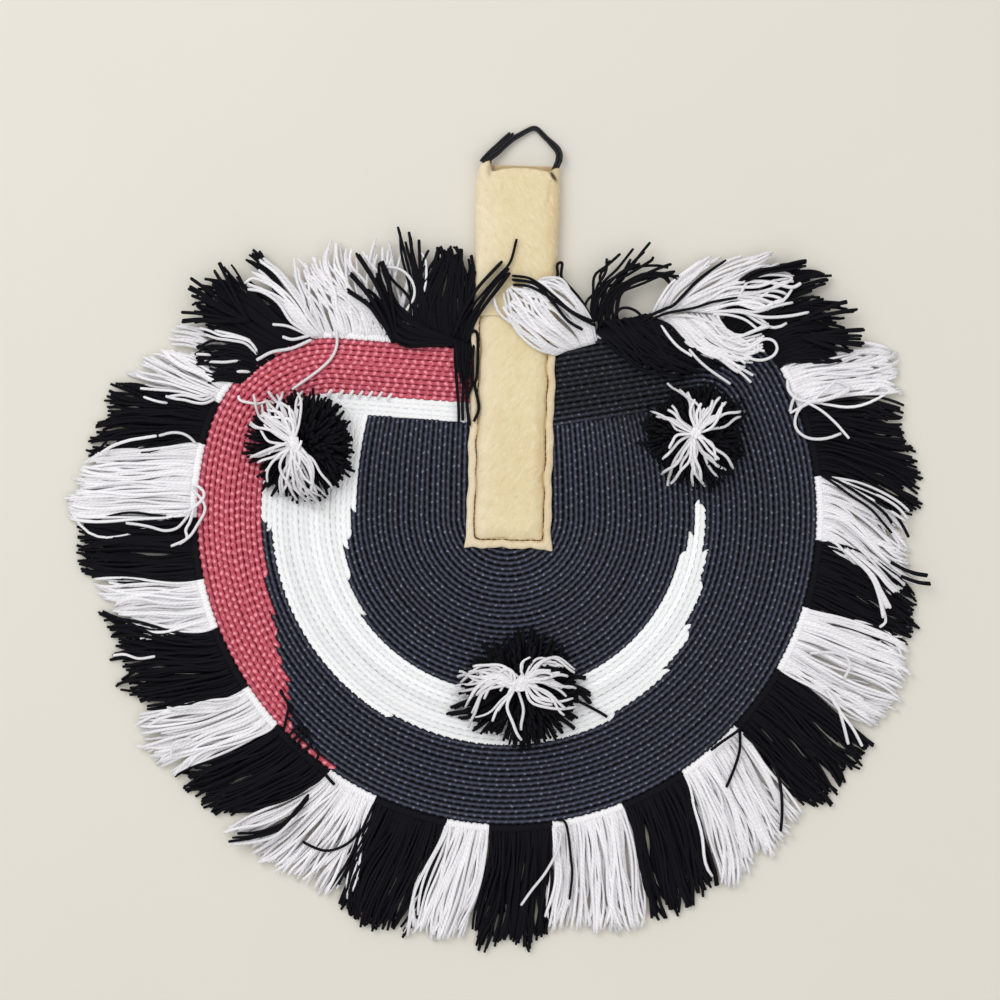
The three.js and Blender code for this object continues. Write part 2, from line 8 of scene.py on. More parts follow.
import bmesh
import bpy
import numpy as np
from bpy.props import FloatProperty, FloatVectorProperty, IntProperty, PointerProperty
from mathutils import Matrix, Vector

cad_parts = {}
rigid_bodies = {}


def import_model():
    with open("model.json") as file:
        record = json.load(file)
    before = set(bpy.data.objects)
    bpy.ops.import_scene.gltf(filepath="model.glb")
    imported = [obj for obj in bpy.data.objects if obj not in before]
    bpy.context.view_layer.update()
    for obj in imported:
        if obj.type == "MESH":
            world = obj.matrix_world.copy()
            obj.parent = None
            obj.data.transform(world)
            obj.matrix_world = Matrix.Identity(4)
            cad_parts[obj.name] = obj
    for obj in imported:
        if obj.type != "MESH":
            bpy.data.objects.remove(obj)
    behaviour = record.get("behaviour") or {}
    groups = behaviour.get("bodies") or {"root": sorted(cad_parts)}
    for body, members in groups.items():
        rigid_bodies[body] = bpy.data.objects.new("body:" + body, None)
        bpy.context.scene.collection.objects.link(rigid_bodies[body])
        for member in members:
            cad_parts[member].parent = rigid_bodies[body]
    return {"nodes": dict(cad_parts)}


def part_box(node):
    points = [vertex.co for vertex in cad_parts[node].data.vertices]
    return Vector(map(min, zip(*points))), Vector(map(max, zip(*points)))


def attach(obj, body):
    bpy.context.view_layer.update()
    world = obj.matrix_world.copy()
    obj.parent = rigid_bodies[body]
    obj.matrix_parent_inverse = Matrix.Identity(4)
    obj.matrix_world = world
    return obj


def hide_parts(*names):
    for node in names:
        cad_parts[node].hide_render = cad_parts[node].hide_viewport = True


bl_info = {
    "name": "Woven Wall Fan",
    "version": (1, 0, 0),
    "blender": (4, 5, 0),
    "location": "3D View > Sidebar > Wall Fan",
    "description": "Builds a coiled wall fan with a leather handle, a yarn fringe and three pompoms",
    "category": "Add Mesh",
}

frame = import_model()

MM = 0.001
DEG = math.pi / 180
# Random phases of waves, in radians, are drawn from 0 to this.
FULL_TURN = 6.3

# The plate's outline and the handle's place, as in the solids: millimetres from the coil's centre.
PLATE_RADIUS = 154.5
RIM_PITCH = 2.65
RIM_ROWS = 15
RIM_WIDTH = RIM_PITCH * RIM_ROWS
CENTRE_RADIUS = PLATE_RADIUS - RIM_WIDTH
CENTRE_FIRST = 12.3
CENTRE_ROWS = 39
CENTRE_PITCH = (CENTRE_RADIUS - CENTRE_FIRST) / CENTRE_ROWS
LEG_BEND = 2.2
NECK_HEIGHT = 81.0
LEAN = 1.6 * DEG
OFFSET = 1.0
MIDDLE = 4.8
PLATE_HALF = 1.8
HANDLE_TOP = 9.6
PANEL_WIDTH = 43.0
PANEL_TAIL = 16.5
PANEL_TOP = 98.7
GRIP_WIDTH = 42.0
GRIP_TOP = 175.0
TONGUE_WIDTH = 24.0
HINGE_GAP = 2.5

# Where the strip changes colour, in degrees round the coil from its left side, one value a row.
CENTRE_WHITE_FIRST = 24
CENTRE_WHITE_ENDS = [-1.5, 8, 11.5, 21.5, 34.5, 168, 174, 184, 183, 170, 161, 149, 147, 136, 118]
RIM_WHITE_ENDS = [60, 3.5, 1.5, -20]
RIM_RED_FIRST = 3
RIM_RED_ENDS = [14, 23, 27, 30, 33.5, 37, 38.5, 40, 41.5, 43, 44.5, 55.5]


def polar(radius, angle):
    """A point at a distance and an angle in degrees, or many of them."""
    angle = np.asarray(angle, float) * DEG
    return np.stack([radius * np.cos(angle), radius * np.sin(angle)], -1)


def angle_of(point):
    """The angle of a point round the coil's centre, in degrees."""
    return math.degrees(math.atan2(point[1], point[0]))


def unit(vectors):
    """The same directions at a length of 1."""
    return vectors / np.maximum(np.linalg.norm(vectors, axis=-1, keepdims=True), 1e-9)


def quarter_turned(directions):
    """Directions in the plane, each turned a quarter to the left."""
    return np.stack([-directions[..., 1], directions[..., 0]], -1)


def directions_round(count):
    """Angles at an even spacing round a full turn."""
    return np.arange(count) / count * 2 * math.pi


def waves(rng, along, slowest, fastest, shape):
    """A wave along each strand, with a pace and a start of its own."""
    return np.sin(along * rng.uniform(slowest, fastest, shape) + rng.random(shape) * FULL_TURN)


# The left pompom's tie stands at a known place on the plate, so it gives the coil's centre in the frame.
LEFT_POMPOM_ANGLE = 160.9
LEFT_POMPOM_INSET = 47.6
_low, _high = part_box("pompom_left_tie")
_tie = np.array([(_low.x + _high.x) / 2, (_low.y + _high.y) / 2]) / MM
COIL = _tie - polar(PLATE_RADIUS - LEFT_POMPOM_INSET, LEFT_POMPOM_ANGLE)


def placed(points):
    """Points in millimetres from the coil's centre, in the frame's metres."""
    points = np.asarray(points, float)
    return (points + np.array([COIL[0], COIL[1], 0.0])) * MM


def from_handle(points):
    """Points of the handle's own axes, X across it and Y along it, seen from the coil's centre."""
    points = np.array(points, float)
    x, y = points[..., 0].copy(), points[..., 1].copy()
    points[..., 0] = OFFSET + x * math.cos(LEAN) + y * math.sin(LEAN)
    points[..., 1] = -x * math.sin(LEAN) + y * math.cos(LEAN)
    return points


def to_handle(points):
    """Points seen from the coil's centre, in the handle's own axes."""
    x, y = points[..., 0] - OFFSET, points[..., 1]
    return np.stack([x * math.cos(LEAN) - y * math.sin(LEAN), x * math.sin(LEAN) + y * math.cos(LEAN)], -1)


def srgb(*channels):
    """A colour as it is seen, in 0 to 255, as the linear values that a shader takes."""
    shares = [channel / 255 for channel in channels]
    return tuple(s / 12.92 if s <= 0.04045 else ((s + 0.055) / 1.055) ** 2.4 for s in shares)


# ---------------------------------------------------------------------------------------------
# Values that a user would change


def length_property(name, description, default, low, high):
    """A length that a user would change, in metres."""
    return FloatProperty(name=name, description=description, default=default, min=low, max=high, unit="LENGTH")


class FanSizes(bpy.types.PropertyGroup):
    """Sizes of the fan's strip, yarn, leather and cord, and of the stage that it lies on."""

    stitch_spacing: length_property(
        "Stitch spacing", "Distance between two stitches along a row of the plate", 0.0042, 0.002, 0.01
    )
    yarn_width: length_property(
        "Yarn width", "Width of one strand of the fringe and the pompoms", 0.0015, 0.0008, 0.003
    )
    fringe_density: FloatProperty(
        name="Fringe density", description="Strands in each millimetre of the rim", default=2.7, min=0.5, max=4.0
    )
    pompom_strands: IntProperty(
        name="Pompom strands", description="Black strands in each pompom", default=560, min=50, max=700
    )
    hide_thickness: length_property(
        "Leather thickness", "Thickness of the leather on the handle", 0.0013, 0.0006, 0.002
    )
    seam_inset: length_property("Seam inset", "Distance from a panel's cut edge to its seam", 0.0041, 0.002, 0.006)
    seam_stitch: length_property("Seam stitch", "Length of one stitch of the leather's seams", 0.0028, 0.0015, 0.006)
    cord_width: length_property("Cord width", "Width of one strand of the hanging loop", 0.0014, 0.001, 0.0022)
    camera_height: length_property("Camera height", "Height of the camera above the plate", 1.0, 0.5, 3.0)
    floor_size: length_property("Floor size", "Side of the square floor", 6.0, 1.0, 20.0)


def colour_property(name, description, *channels):
    """A colour that a user would change, with its default as it is seen."""
    return FloatVectorProperty(
        name=name, description=description, default=srgb(*channels), min=0.0, max=1.0, size=3, subtype="COLOR"
    )


class FanColours(bpy.types.PropertyGroup):
    """Colours of the fan's finishes."""

    dark_strip: colour_property("Dark strip", "Ridge of the charcoal rows", 29, 33, 46)
    white_strip: colour_property("White strip", "Ridge of the white rows", 251, 252, 254)
    red_strip: colour_property("Red strip", "Ridge of the red rows", 197, 86, 103)
    black_yarn: colour_property("Black yarn", "Black strands", 20, 20, 25)
    white_yarn: colour_property("White yarn", "White strands", 241, 240, 243)
    hide: colour_property("Leather", "Pale leather of the handle", 243, 227, 184)
    thread: colour_property("Seam thread", "Brown thread of the seams", 132, 88, 50)
    wood: colour_property("Wood", "Wooden core of the handle", 178, 140, 92)
    cord: colour_property("Cord", "Black cord of the hanging loop", 30, 30, 35)
    floor: colour_property("Floor", "Pale floor", 230, 226, 216)


# ---------------------------------------------------------------------------------------------
# Shader maths


class Signal:
    """One value in a material. Sums on it add Math nodes, and node() adds any other node."""

    def __init__(self, tree, socket=None):
        self.tree = tree
        self.socket = socket

    def node(self, kind, settings=None, inputs=None, output=0):
        """Adds a node with its settings, and with inputs from plain values or from other signals."""
        made = self.tree.nodes.new(kind)
        for name, value in (settings or {}).items():
            if name == "stops":
                ramp = made.color_ramp
                while len(ramp.elements) < len(value):
                    ramp.elements.new(0.5)
                for element, (position, colour) in zip(ramp.elements, value):
                    element.position = position
                    element.color = (*colour, 1.0)
            else:
                setattr(made, name, value)
        for name, value in (inputs or {}).items():
            if isinstance(value, Signal):
                self.tree.links.new(value.socket, made.inputs[name])
            else:
                made.inputs[name].default_value = value
        return Signal(self.tree, made.outputs[output])

    def math(self, operation, *values):
        """Adds one Math node."""
        return self.node("ShaderNodeMath", {"operation": operation}, dict(enumerate(values)))

    def __add__(self, other):
        return self.math("ADD", self, other)

    __radd__ = __add__

    def __sub__(self, other):
        return self.math("SUBTRACT", self, other)

    def __rsub__(self, other):
        return self.math("SUBTRACT", other, self)

    def __mul__(self, other):
        return self.math("MULTIPLY", self, other)

    __rmul__ = __mul__

    def fraction(self):
        """What is left of the value after its whole number."""
        return self.math("FRACT", self)

    def size(self):
        """The value without its sign."""
        return self.math("ABSOLUTE", self)

    def wave(self):
        """The value's sine."""
        return self.math("SINE", self)

    def eased(self, start, stop, low=0.0, high=1.0):
        """A smooth step from low, at start, to high, at stop."""
        inputs = {"Value": self, "From Min": start, "From Max": stop, "To Min": low, "To Max": high}
        return self.node("ShaderNodeMapRange", {"interpolation_type": "SMOOTHSTEP"}, inputs)

    def mix(self, first, second):
        """One colour blended into another by this value."""
        settings = {"data_type": "RGBA", "blend_type": "MIX"}
        inputs = {0: self, 6: _colour(first), 7: _colour(second)}
        return self.node("ShaderNodeMix", settings, inputs, output=2)

    def darkened(self, factor):
        """This colour times a plain value."""
        grey = self.node("ShaderNodeCombineColor", None, {0: factor, 1: factor, 2: factor})
        settings = {"data_type": "RGBA", "blend_type": "MULTIPLY"}
        return self.node("ShaderNodeMix", settings, {0: 1.0, 6: self, 7: grey}, output=2)

    def noise(self, scale, detail=2.0, roughness=0.5, stretch=(1.0, 1.0, 1.0)):
        """A cloudy pattern over this position."""
        place = self.node("ShaderNodeMapping", None, {"Vector": self, "Scale": stretch})
        inputs = {"Vector": place, "Scale": scale, "Detail": detail, "Roughness": roughness}
        return self.node("ShaderNodeTexNoise", None, inputs)

    def part(self, axis):
        """One of a position's three values."""
        return self.node("ShaderNodeSeparateXYZ", None, {0: self}, output=axis)


def _colour(value):
    """A signal as it is, or a plain colour with full opacity."""
    return value if isinstance(value, Signal) else (*value, 1.0)


class Finish:
    """A new material with one Principled shader, and the positions and attributes that its pattern reads."""

    def __init__(self, name, roughness, **constants):
        self.material = bpy.data.materials.new(name)
        self.material.use_nodes = True
        self.tree = self.material.node_tree
        self.tree.nodes.clear()
        self.start = Signal(self.tree)
        self.shader = self.tree.nodes.new("ShaderNodeBsdfPrincipled")
        self.shader.inputs["Roughness"].default_value = roughness
        for socket, value in constants.items():
            self.shader.inputs[socket.replace("_", " ")].default_value = value
        output = self.tree.nodes.new("ShaderNodeOutputMaterial")
        self.tree.links.new(self.shader.outputs[0], output.inputs["Surface"])
        self.place = self.start.node("ShaderNodeTexCoord", output="Object")
        self.map = self.start.node("ShaderNodeTexCoord", output="UV")

    def attribute(self, name):
        """A value that the mesh carries at its points."""
        return self.start.node("ShaderNodeAttribute", {"attribute_name": name}, output="Fac")

    def colour(self, value):
        """Sets the surface's colour."""
        self.tree.links.new(value.socket, self.shader.inputs["Base Color"])

    def roughness(self, value):
        """Sets how matt the surface is."""
        self.tree.links.new(value.socket, self.shader.inputs["Roughness"])

    def relief(self, height, depth, strength):
        """Bumps from a height of 0 to 1 that stands for a depth in metres."""
        bump = self.start.node("ShaderNodeBump", None, {"Height": height, "Distance": depth, "Strength": strength})
        self.tree.links.new(bump.socket, self.shader.inputs["Normal"])


def strip_finish(name, ridge, line, groove, stitch, contrast, bridged, small=1.0, rare=0.36):
    """Stitched strip: a slanted stitch on top of the ridge at each beat, and a dash of painted shade in the groove
    between two beats. The map's U counts beats along a row. Its V runs across the row, and is 2 more on every second
    row, where the stitches slant the other way. line, groove and stitch are the colours beside the ridge's own: line
    colours the ridge's middle and is a painted highlight on the dark rows, groove is the painted shade between rows,
    and stitch is a painted highlight on the stitches. bridged is how far the dashes leave the groove free, small
    shrinks the stitches and rare makes fewer of them light up. Rows come out darker at random, and darker still where
    painted shade lies under the black locks."""
    finish = Finish(name, 0.5, Specular_IOR_Level=0.22)
    packed = finish.map.part(1)
    odd = packed.math("GREATER_THAN", packed, 1.5)
    across = (packed - odd * 2.0) * 2.0 - 1.0
    turn = odd * 2.0 - 1.0
    beat = finish.map.part(0).fraction() - 0.5
    slow = finish.place.noise(70.0)
    fine = finish.place.noise(900.0, 3.0)
    coarse = finish.place.noise(330.0, 2.0)
    fibres = finish.map.noise(3.0, 3.0, 0.6, (1.6, 9.0, 1.0))
    p, q = beat * 4.2, across * 1.3 - 0.15
    length = (p + q * turn * 0.55) * (0.76 * small)
    width = (q - p * turn * 0.4) * (1.55 * small)
    spread = length * length + width * width + (coarse - 0.5) * 1.6 + (fine - 0.5) * 0.8
    blob = spread.eased(1.35, 0.1)
    side = across.size()
    dash = beat.size().eased(0.14, 0.3) * bridged + (1.0 - bridged)
    gap = (side + (fine - 0.5) * 0.3).eased(0.38, 0.74)
    shade = 0.52 + slow * 0.16 + fibres * 0.36 + finish.attribute("tone") * 0.36 + fine * 0.16
    # The line colour on the middle of each ridge is a painted highlight on the dark rows, and nearly the ridge's own
    # colour on the white and red rows.
    base = side.eased(0.05, 0.45).mix(line, ridge).darkened(shade)
    # Painted shade: the groove colour darkens the grooves between rows, in dashes between the stitches.
    darker_patches = (gap * dash * (1.0 - blob * 0.8) * contrast).mix(base, groove)
    # Painted highlight on a share of the stitches.
    lit = (blob * coarse.eased(rare, rare + 0.22, 0.1, 1.0)).mix(darker_patches, stitch)
    # Painted shade under the black locks darkens the rows, besides their random variation.
    finish.colour(lit.darkened(finish.attribute("tone").eased(-0.4, 0.35, 0.42, 1.0)))
    finish.roughness(0.5 + fine * 0.2)
    finish.relief((1.0 - gap * dash) * 0.6 + blob * 0.5 + fibres * 0.4, 0.0004, 0.8)
    return finish.material


def yarn_finish(name, base, depth):
    """Two-ply yarn. The map's U counts turns of the twist along a strand and its V runs round it. Painted shade gives
    the groove between the plies the base's colour times depth, and makes a strand that lies lower than the others
    darker."""
    finish = Finish(name, 0.85, Specular_IOR_Level=0.1)
    groove = [c * depth for c in base]
    along, around = finish.map.part(0), finish.map.part(1)
    ply = ((along + around * 2.0) * math.pi).wave().size()
    fuzz = finish.place.noise(1600.0, 3.0, 0.6)
    slow = finish.place.noise(90.0)
    # Painted shade: lower strands are darker, besides their random variation.
    shade = 0.6 + finish.attribute("tone") * 0.4 + slow * 0.12 + fuzz * 0.16
    # Painted shade in the groove between the plies.
    finish.colour(ply.eased(0.0, 0.4, 0.45, 1.0).mix(groove, base).darkened(shade))
    finish.relief(ply * 0.5 + fuzz * 0.35, 0.0003, 0.35)
    return finish.material


def hide_finish(name, base):
    """Pale leather: fine grain, slanted creases with painted shade in their hollows and a painted highlight on their
    crests, soft stains, a paler cut edge and browned seams. Painted light pales the left side and painted shade
    darkens the right one. Painted shade also darkens the seams' grooves and, on the sleeve, its fold, its pinched
    corner, its lip and the inside of its mouth, and a painted shadow fills the slit and the depth of the mouth.
    """
    finish = Finish(name, 0.62)
    patch = finish.place.noise(28.0, 3.0)
    spots = finish.place.noise(220.0, 4.0, 0.6)
    grain = finish.start.node(
        "ShaderNodeTexVoronoi", {"feature": "DISTANCE_TO_EDGE"}, {"Vector": finish.place, "Scale": 1500.0}
    )
    pores = grain.eased(0.0, 0.22)
    sets = []
    for angle in (-58.0, 63.0):
        turned = finish.start.node(
            "ShaderNodeMapping", None, {"Vector": finish.place, "Rotation": (0.0, 0.0, angle * DEG)}
        )
        ripple = finish.place.noise(140.0, 2.0) * 0.005
        bent = finish.start.node("ShaderNodeVectorMath", {"operation": "ADD"}, {0: turned, 1: ripple})
        sets.append(bent.noise(430.0, 3.0, 0.55, (0.42, 1.5, 1.0)))
    upper = finish.place.part(1).eased(0.1, 0.12)
    creases = sets[0] * (1.0 - upper) + sets[1] * upper
    seam, edge, hole = (finish.attribute(word) for word in ("seam", "edge", "hole"))
    side = finish.attribute("side") + (patch - 0.5) * 0.3
    dark = [c * s for c, s in zip(base, (0.78, 0.67, 0.5))]
    darker_patches = (patch.eased(0.35, 0.7) * 0.14 + spots.eased(0.46, 0.75) * 0.2).mix(base, dark)
    # Painted light: the left side is paler.
    pale = (side.eased(0.42, 0.06) * 0.5).mix(darker_patches, srgb(250, 238, 214))
    # Painted shade: the right side is darker.
    shaded_right_side = (side.eased(0.78, 0.98) * 0.42).mix(pale, srgb(205, 168, 112))
    edged = (edge * 0.85).mix(shaded_right_side, srgb(238, 220, 190))
    # Painted shade in the creases' hollows, and darker pores of the grain.
    lined = (creases.eased(0.54, 0.7) * 0.24 + (1.0 - pores) * 0.12).mix(edged, dark)
    # Painted highlight on the creases' crests.
    lit = (creases.eased(0.47, 0.33) * 0.4).mix(lined, srgb(252, 241, 211))
    # Partly the real browning of the leather along the seams and partly painted shade: in the seams' grooves, and on
    # the sleeve in its fold, at its pinched corner, along its lip and inside its mouth.
    shaded = (seam * 0.9).mix(lit, [c * s for c, s in zip(base, (0.5, 0.36, 0.2))])
    # Painted shadow: dark brown in the slit beside the right hole and deep in the sleeve's mouth.
    finish.colour(hole.mix(shaded, srgb(52, 32, 20)))
    finish.roughness(0.5 + spots * 0.25)
    finish.relief(pores * 0.3 + creases * 0.8 + spots * 0.4, 0.0004, 0.75)
    return finish.material


def cord_finish(name, base):
    """Waxed black cord, braided in fine slanted strands, with painted shade in the grooves between them."""
    finish = Finish(name, 0.5, Specular_IOR_Level=0.3)
    along, around = finish.map.part(0), finish.map.part(1)
    one = ((along + around * 3.0) * math.pi).wave().size()
    other = ((along - around * 3.0) * math.pi).wave().size()
    braid = one.math("MINIMUM", one, other)
    fuzz = finish.place.noise(1500.0, 3.0)
    darker_patches = finish.place.noise(260.0, 3.0)
    # Painted shade in the grooves of the braid.
    finish.colour(braid.eased(0.0, 0.6).mix([c * 0.35 for c in base], base).darkened(0.8 + fuzz * 0.4 + darker_patches * 0.25))
    finish.roughness(0.4 + fuzz * 0.3)
    finish.relief(braid * 0.8 + fuzz * 0.3, 0.0003, 0.7)
    return finish.material


def thread_finish(name, base):
    """Waxed sewing thread, sunk into the leather, with painted shade between the turns of its twist."""
    finish = Finish(name, 0.6)
    twist = ((finish.place.part(0) + finish.place.part(1)) * 9000.0).wave() * 0.5 + 0.5
    darker_patches = finish.place.noise(400.0, 3.0)
    # Painted shade between the turns of the twist.
    finish.colour(darker_patches.eased(0.35, 0.7).mix([c * 0.55 for c in base], base).darkened(0.75 + twist * 0.35))
    finish.relief(twist, 0.0002, 0.6)
    return finish.material


def wood_finish(name, base):
    """Plain sawn wood with its grain along the handle."""
    finish = Finish(name, 0.6)
    grain = finish.place.noise(160.0, 5.0, 0.6, (6.0, 0.35, 6.0))
    pores = finish.place.noise(900.0, 3.0, 0.6, (3.0, 0.3, 3.0))
    dark = [c * 0.6 for c in base]
    finish.colour((grain.eased(0.35, 0.7) * 0.8 + pores.eased(0.55, 0.8) * 0.3).mix(base, dark))
    finish.relief(grain * 0.6 + pores * 0.4, 0.0004, 0.6)
    return finish.material


def floor_finish(name, base):
    """A plain pale floor with hardly any gloss."""
    finish = Finish(name, 0.9)
    cloud = finish.place.noise(9.0, 3.0)
    finish.colour(cloud.mix([c * 0.985 for c in base], [min(1.0, c * 1.015) for c in base]))
    return finish.material


# How each slot's material is made: the function, the user's colour, and the rest of its looks.
MAKERS = {
    # For each strip, line colours the ridge's middle, a painted highlight on the dark rows; groove is painted shade
    # between rows and stitch a painted highlight on the stitches.
    "dark_strip": (strip_finish, "dark_strip", {
        "line": srgb(66, 70, 88), "groove": srgb(2, 3, 9), "stitch": srgb(134, 139, 156),
        "contrast": 1.15, "bridged": 0.3, "small": 1.3, "rare": 0.46,
    }),
    "white_strip": (strip_finish, "white_strip", {
        "line": srgb(254, 254, 255), "groove": srgb(226, 229, 234), "stitch": srgb(255, 255, 255),
        "contrast": 0.55, "bridged": 0.6,
    }),
    "red_strip": (strip_finish, "red_strip", {
        "line": srgb(195, 79, 97), "groove": srgb(126, 32, 48), "stitch": srgb(252, 164, 178),
        "contrast": 1.0, "bridged": 1.0, "small": 0.9,
    }),
    "black_yarn": (yarn_finish, "black_yarn", {"depth": 0.35}),
    "white_yarn": (yarn_finish, "white_yarn", {"depth": 0.6}),
    "hide": (hide_finish, "hide", {}),
    "thread": (thread_finish, "thread", {}),
    "wood": (wood_finish, "wood", {}),
    "black_cord": (cord_finish, "cord", {}),
    "floor": (floor_finish, "floor", {}),
}
FINISHES = {}


def finish_for(slot):
    """The material of a slot, made once from the user's colours."""
    if slot not in FINISHES:
        maker, colour, looks = MAKERS[slot]
        FINISHES[slot] = maker(slot, list(getattr(bpy.context.scene.fan_colours, colour)), **looks)
    return FINISHES[slot]


# ---------------------------------------------------------------------------------------------
# Meshes


def deselect():
    """Clears the selection, so that the next step takes only its own pieces."""
    bpy.ops.object.select_all(action="DESELECT")


def keep_piece(piece, slot, body="fan", nodes=()):
    """Gives a finished piece its material and the body that it moves with, and hides the solids that it stands for."""
    piece.data.materials.clear()
    piece.data.materials.append(finish_for(slot))
    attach(piece, body)
    if nodes:
        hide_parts(*nodes)
    return piece


def mesh_piece(name, points, faces, maps, attributes):
    """An object at the origin from points in metres and arrays of faces, each with one number of corners. maps has
    the map's two values at the faces' corners, or is None, and attributes has a value a point for each word."""
    mesh = bpy.data.meshes.new(name)
    corners = np.concatenate([face.ravel() for face in faces]).astype(np.int32)
    counts = np.concatenate([np.full(len(face), face.shape[1]) for face in faces])
    starts = np.concatenate([[0], np.cumsum(counts)[:-1]]).astype(np.int32)
    mesh.vertices.add(len(points))
    mesh.vertices.foreach_set("co", np.ascontiguousarray(points, np.float32).ravel())
    mesh.loops.add(len(corners))
    mesh.loops.foreach_set("vertex_index", corners)
    mesh.polygons.add(len(counts))
    mesh.polygons.foreach_set("loop_start", starts)
    mesh.update(calc_edges=True)
    mesh.polygons.foreach_set("use_smooth", np.ones(len(counts), bool))
    if maps is not None:
        layer = mesh.uv_layers.new(name="strand")
        values = np.concatenate([m.reshape(-1, 2) for m in maps])
        layer.data.foreach_set("uv", values.astype(np.float32).ravel())
    for word, values in attributes.items():
        layer = mesh.attributes.new(word, "FLOAT", "POINT")
        layer.data.foreach_set("value", values.astype(np.float32).ravel())
    mesh.update()
    piece = bpy.data.objects.new(name, mesh)
    bpy.context.scene.collection.objects.link(piece)
    return piece


class Skin:
    """Gathers rings of points into closed tubes that all become one mesh."""

    def __init__(self):
        self.points, self.faces, self.maps, self.tone_and_shade_lists = [], [], [], []
        self.size = 0

    def add(self, rings, along, around, tone):
        """rings is tubes x rings x sides x 3. along and around are the map's two values at each side of each
        ring, with the first side once more at the end, and tone has one value a tube or a ring."""
        tubes, length, sides, _ = rings.shape
        index = self.size + np.arange(tubes * length * sides).reshape(tubes, length, sides)
        after = np.roll(index, -1, axis=2)
        quads = np.stack([index[:, :-1], after[:, :-1], after[:, 1:], index[:, 1:]], -1)
        shape = (tubes, length, sides + 1)
        chart = np.stack([np.broadcast_to(along, shape), np.broadcast_to(around, shape)], -1)
        corners = [chart[:, :-1, :-1], chart[:, :-1, 1:], chart[:, 1:, 1:], chart[:, 1:, :-1]]
        self.points.append(rings.reshape(-1, 3))
        self.faces.append(quads.reshape(-1, 4))
        self.maps.append(np.stack(corners, -2).reshape(-1, 4, 2))
        self.faces.append(index[:, 0, ::-1])
        self.maps.append(chart[:, 0, :-1][:, ::-1])
        self.faces.append(index[:, -1])
        self.maps.append(chart[:, -1, :-1])
        self.tone_and_shade_lists.append(np.repeat(np.broadcast_to(tone, (tubes, length)).ravel(), sides))
        self.size += tubes * length * sides

    def piece(self, name):
        """The gathered tubes as one object."""
        attributes = {"tone": np.concatenate(self.tone_and_shade_lists)}
        return mesh_piece(name, placed(np.concatenate(self.points)), self.faces, self.maps, attributes)


def rings_round(paths, radii, sides):
    """Rings of an even number of sides round many paths of the same number of points."""
    ahead = unit(np.gradient(paths, axis=1))
    start = np.cross(ahead[:, 0], [0.0, 0.0, 1.0])
    flat = np.linalg.norm(start, axis=-1) < 0.2
    start[flat] = np.cross(ahead[flat, 0], [1.0, 0.0, 0.0])
    side = np.empty_like(paths)
    side[:, 0] = unit(start)
    for i in range(1, paths.shape[1]):
        carried = side[:, i - 1] - ahead[:, i] * np.sum(side[:, i - 1] * ahead[:, i], -1, keepdims=True)
        side[:, i] = unit(carried)
    up = np.cross(ahead, side)
    turn = directions_round(sides)
    reach = radii[..., None, None]
    ring = np.cos(turn)[:, None] * side[:, :, None] + np.sin(turn)[:, None] * up[:, :, None]
    return paths[:, :, None] + reach * ring


def smooth_path(stations, count):
    """Points of a smooth curve through stations, for one path or for many at once."""
    stations = np.asarray(stations, float)
    single = stations.ndim == 2
    if single:
        stations = stations[None]
    before, after = 2 * stations[:, :1] - stations[:, 1:2], 2 * stations[:, -1:] - stations[:, -2:-1]
    padded = np.concatenate([before, stations, after], 1)
    place = np.linspace(0, stations.shape[1] - 1, count)
    first = np.minimum(place.astype(int), stations.shape[1] - 2)
    t = (place - first)[None, :, None]
    a, b, c, d = (padded[:, first + k] for k in range(4))
    path = 0.5 * (2 * b + (c - a) * t + (2 * a - 5 * b + 4 * c - d) * t**2 + (3 * b - a - 3 * c + d) * t**3)
    return path[0] if single else path


def even_path(points, spacing):
    """The same line with points at an even spacing, ends included."""
    steps = np.linalg.norm(np.diff(points, axis=0), axis=1)
    reach = np.concatenate([[0], np.cumsum(steps)])
    count = max(2, int(round(reach[-1] / spacing)) + 1)
    place = np.linspace(0, reach[-1], count)
    return np.stack([np.interp(place, reach, points[:, k]) for k in range(points.shape[1])], -1)


def line_length(points):
    """The length of a line through points, in their own units."""
    return float(np.linalg.norm(np.diff(points, axis=0), axis=1).sum())


def ease(value):
    """A smooth step from 0, at 0, to 1, at 1."""
    value = np.clip(value, 0, 1)
    return value * value * (3 - 2 * value)


def bell(value, width):
    """1 at 0, falling off on both sides over a width."""
    return np.exp(-((value / width) ** 2))


# ---------------------------------------------------------------------------------------------
# Outline of the plate


class Shoulder:
    """The straight top edge on one side, and the corner that leads into the round rim."""

    def __init__(self, side, slope, radius):
        slope *= DEG
        neck = np.array([OFFSET + NECK_HEIGHT * math.tan(LEAN), NECK_HEIGHT])
        self.normal = np.array([-side * math.sin(slope), math.cos(slope)])
        outward = np.array([side * math.cos(slope), math.sin(slope)])
        self.radius = radius
        self.height = float(self.normal @ neck)
        rise = self.height - radius
        reach = math.sqrt((PLATE_RADIUS - radius) ** 2 - rise**2)
        self.centre = self.normal * rise + outward * reach
        ends = (angle_of(self.normal), angle_of(self.centre))
        self.first, self.last = min(ends), max(ends)


LEFT = Shoulder(-1, 4.5, 62.0)
RIGHT = Shoulder(1, 9.0, 45.0)


def arc(centre, radius, start, stop):
    """Points on an arc from one angle to another, about one a degree."""
    count = max(2, int(abs(stop - start)) + 2)
    return np.asarray(centre) + polar(radius, np.linspace(start, stop, count))


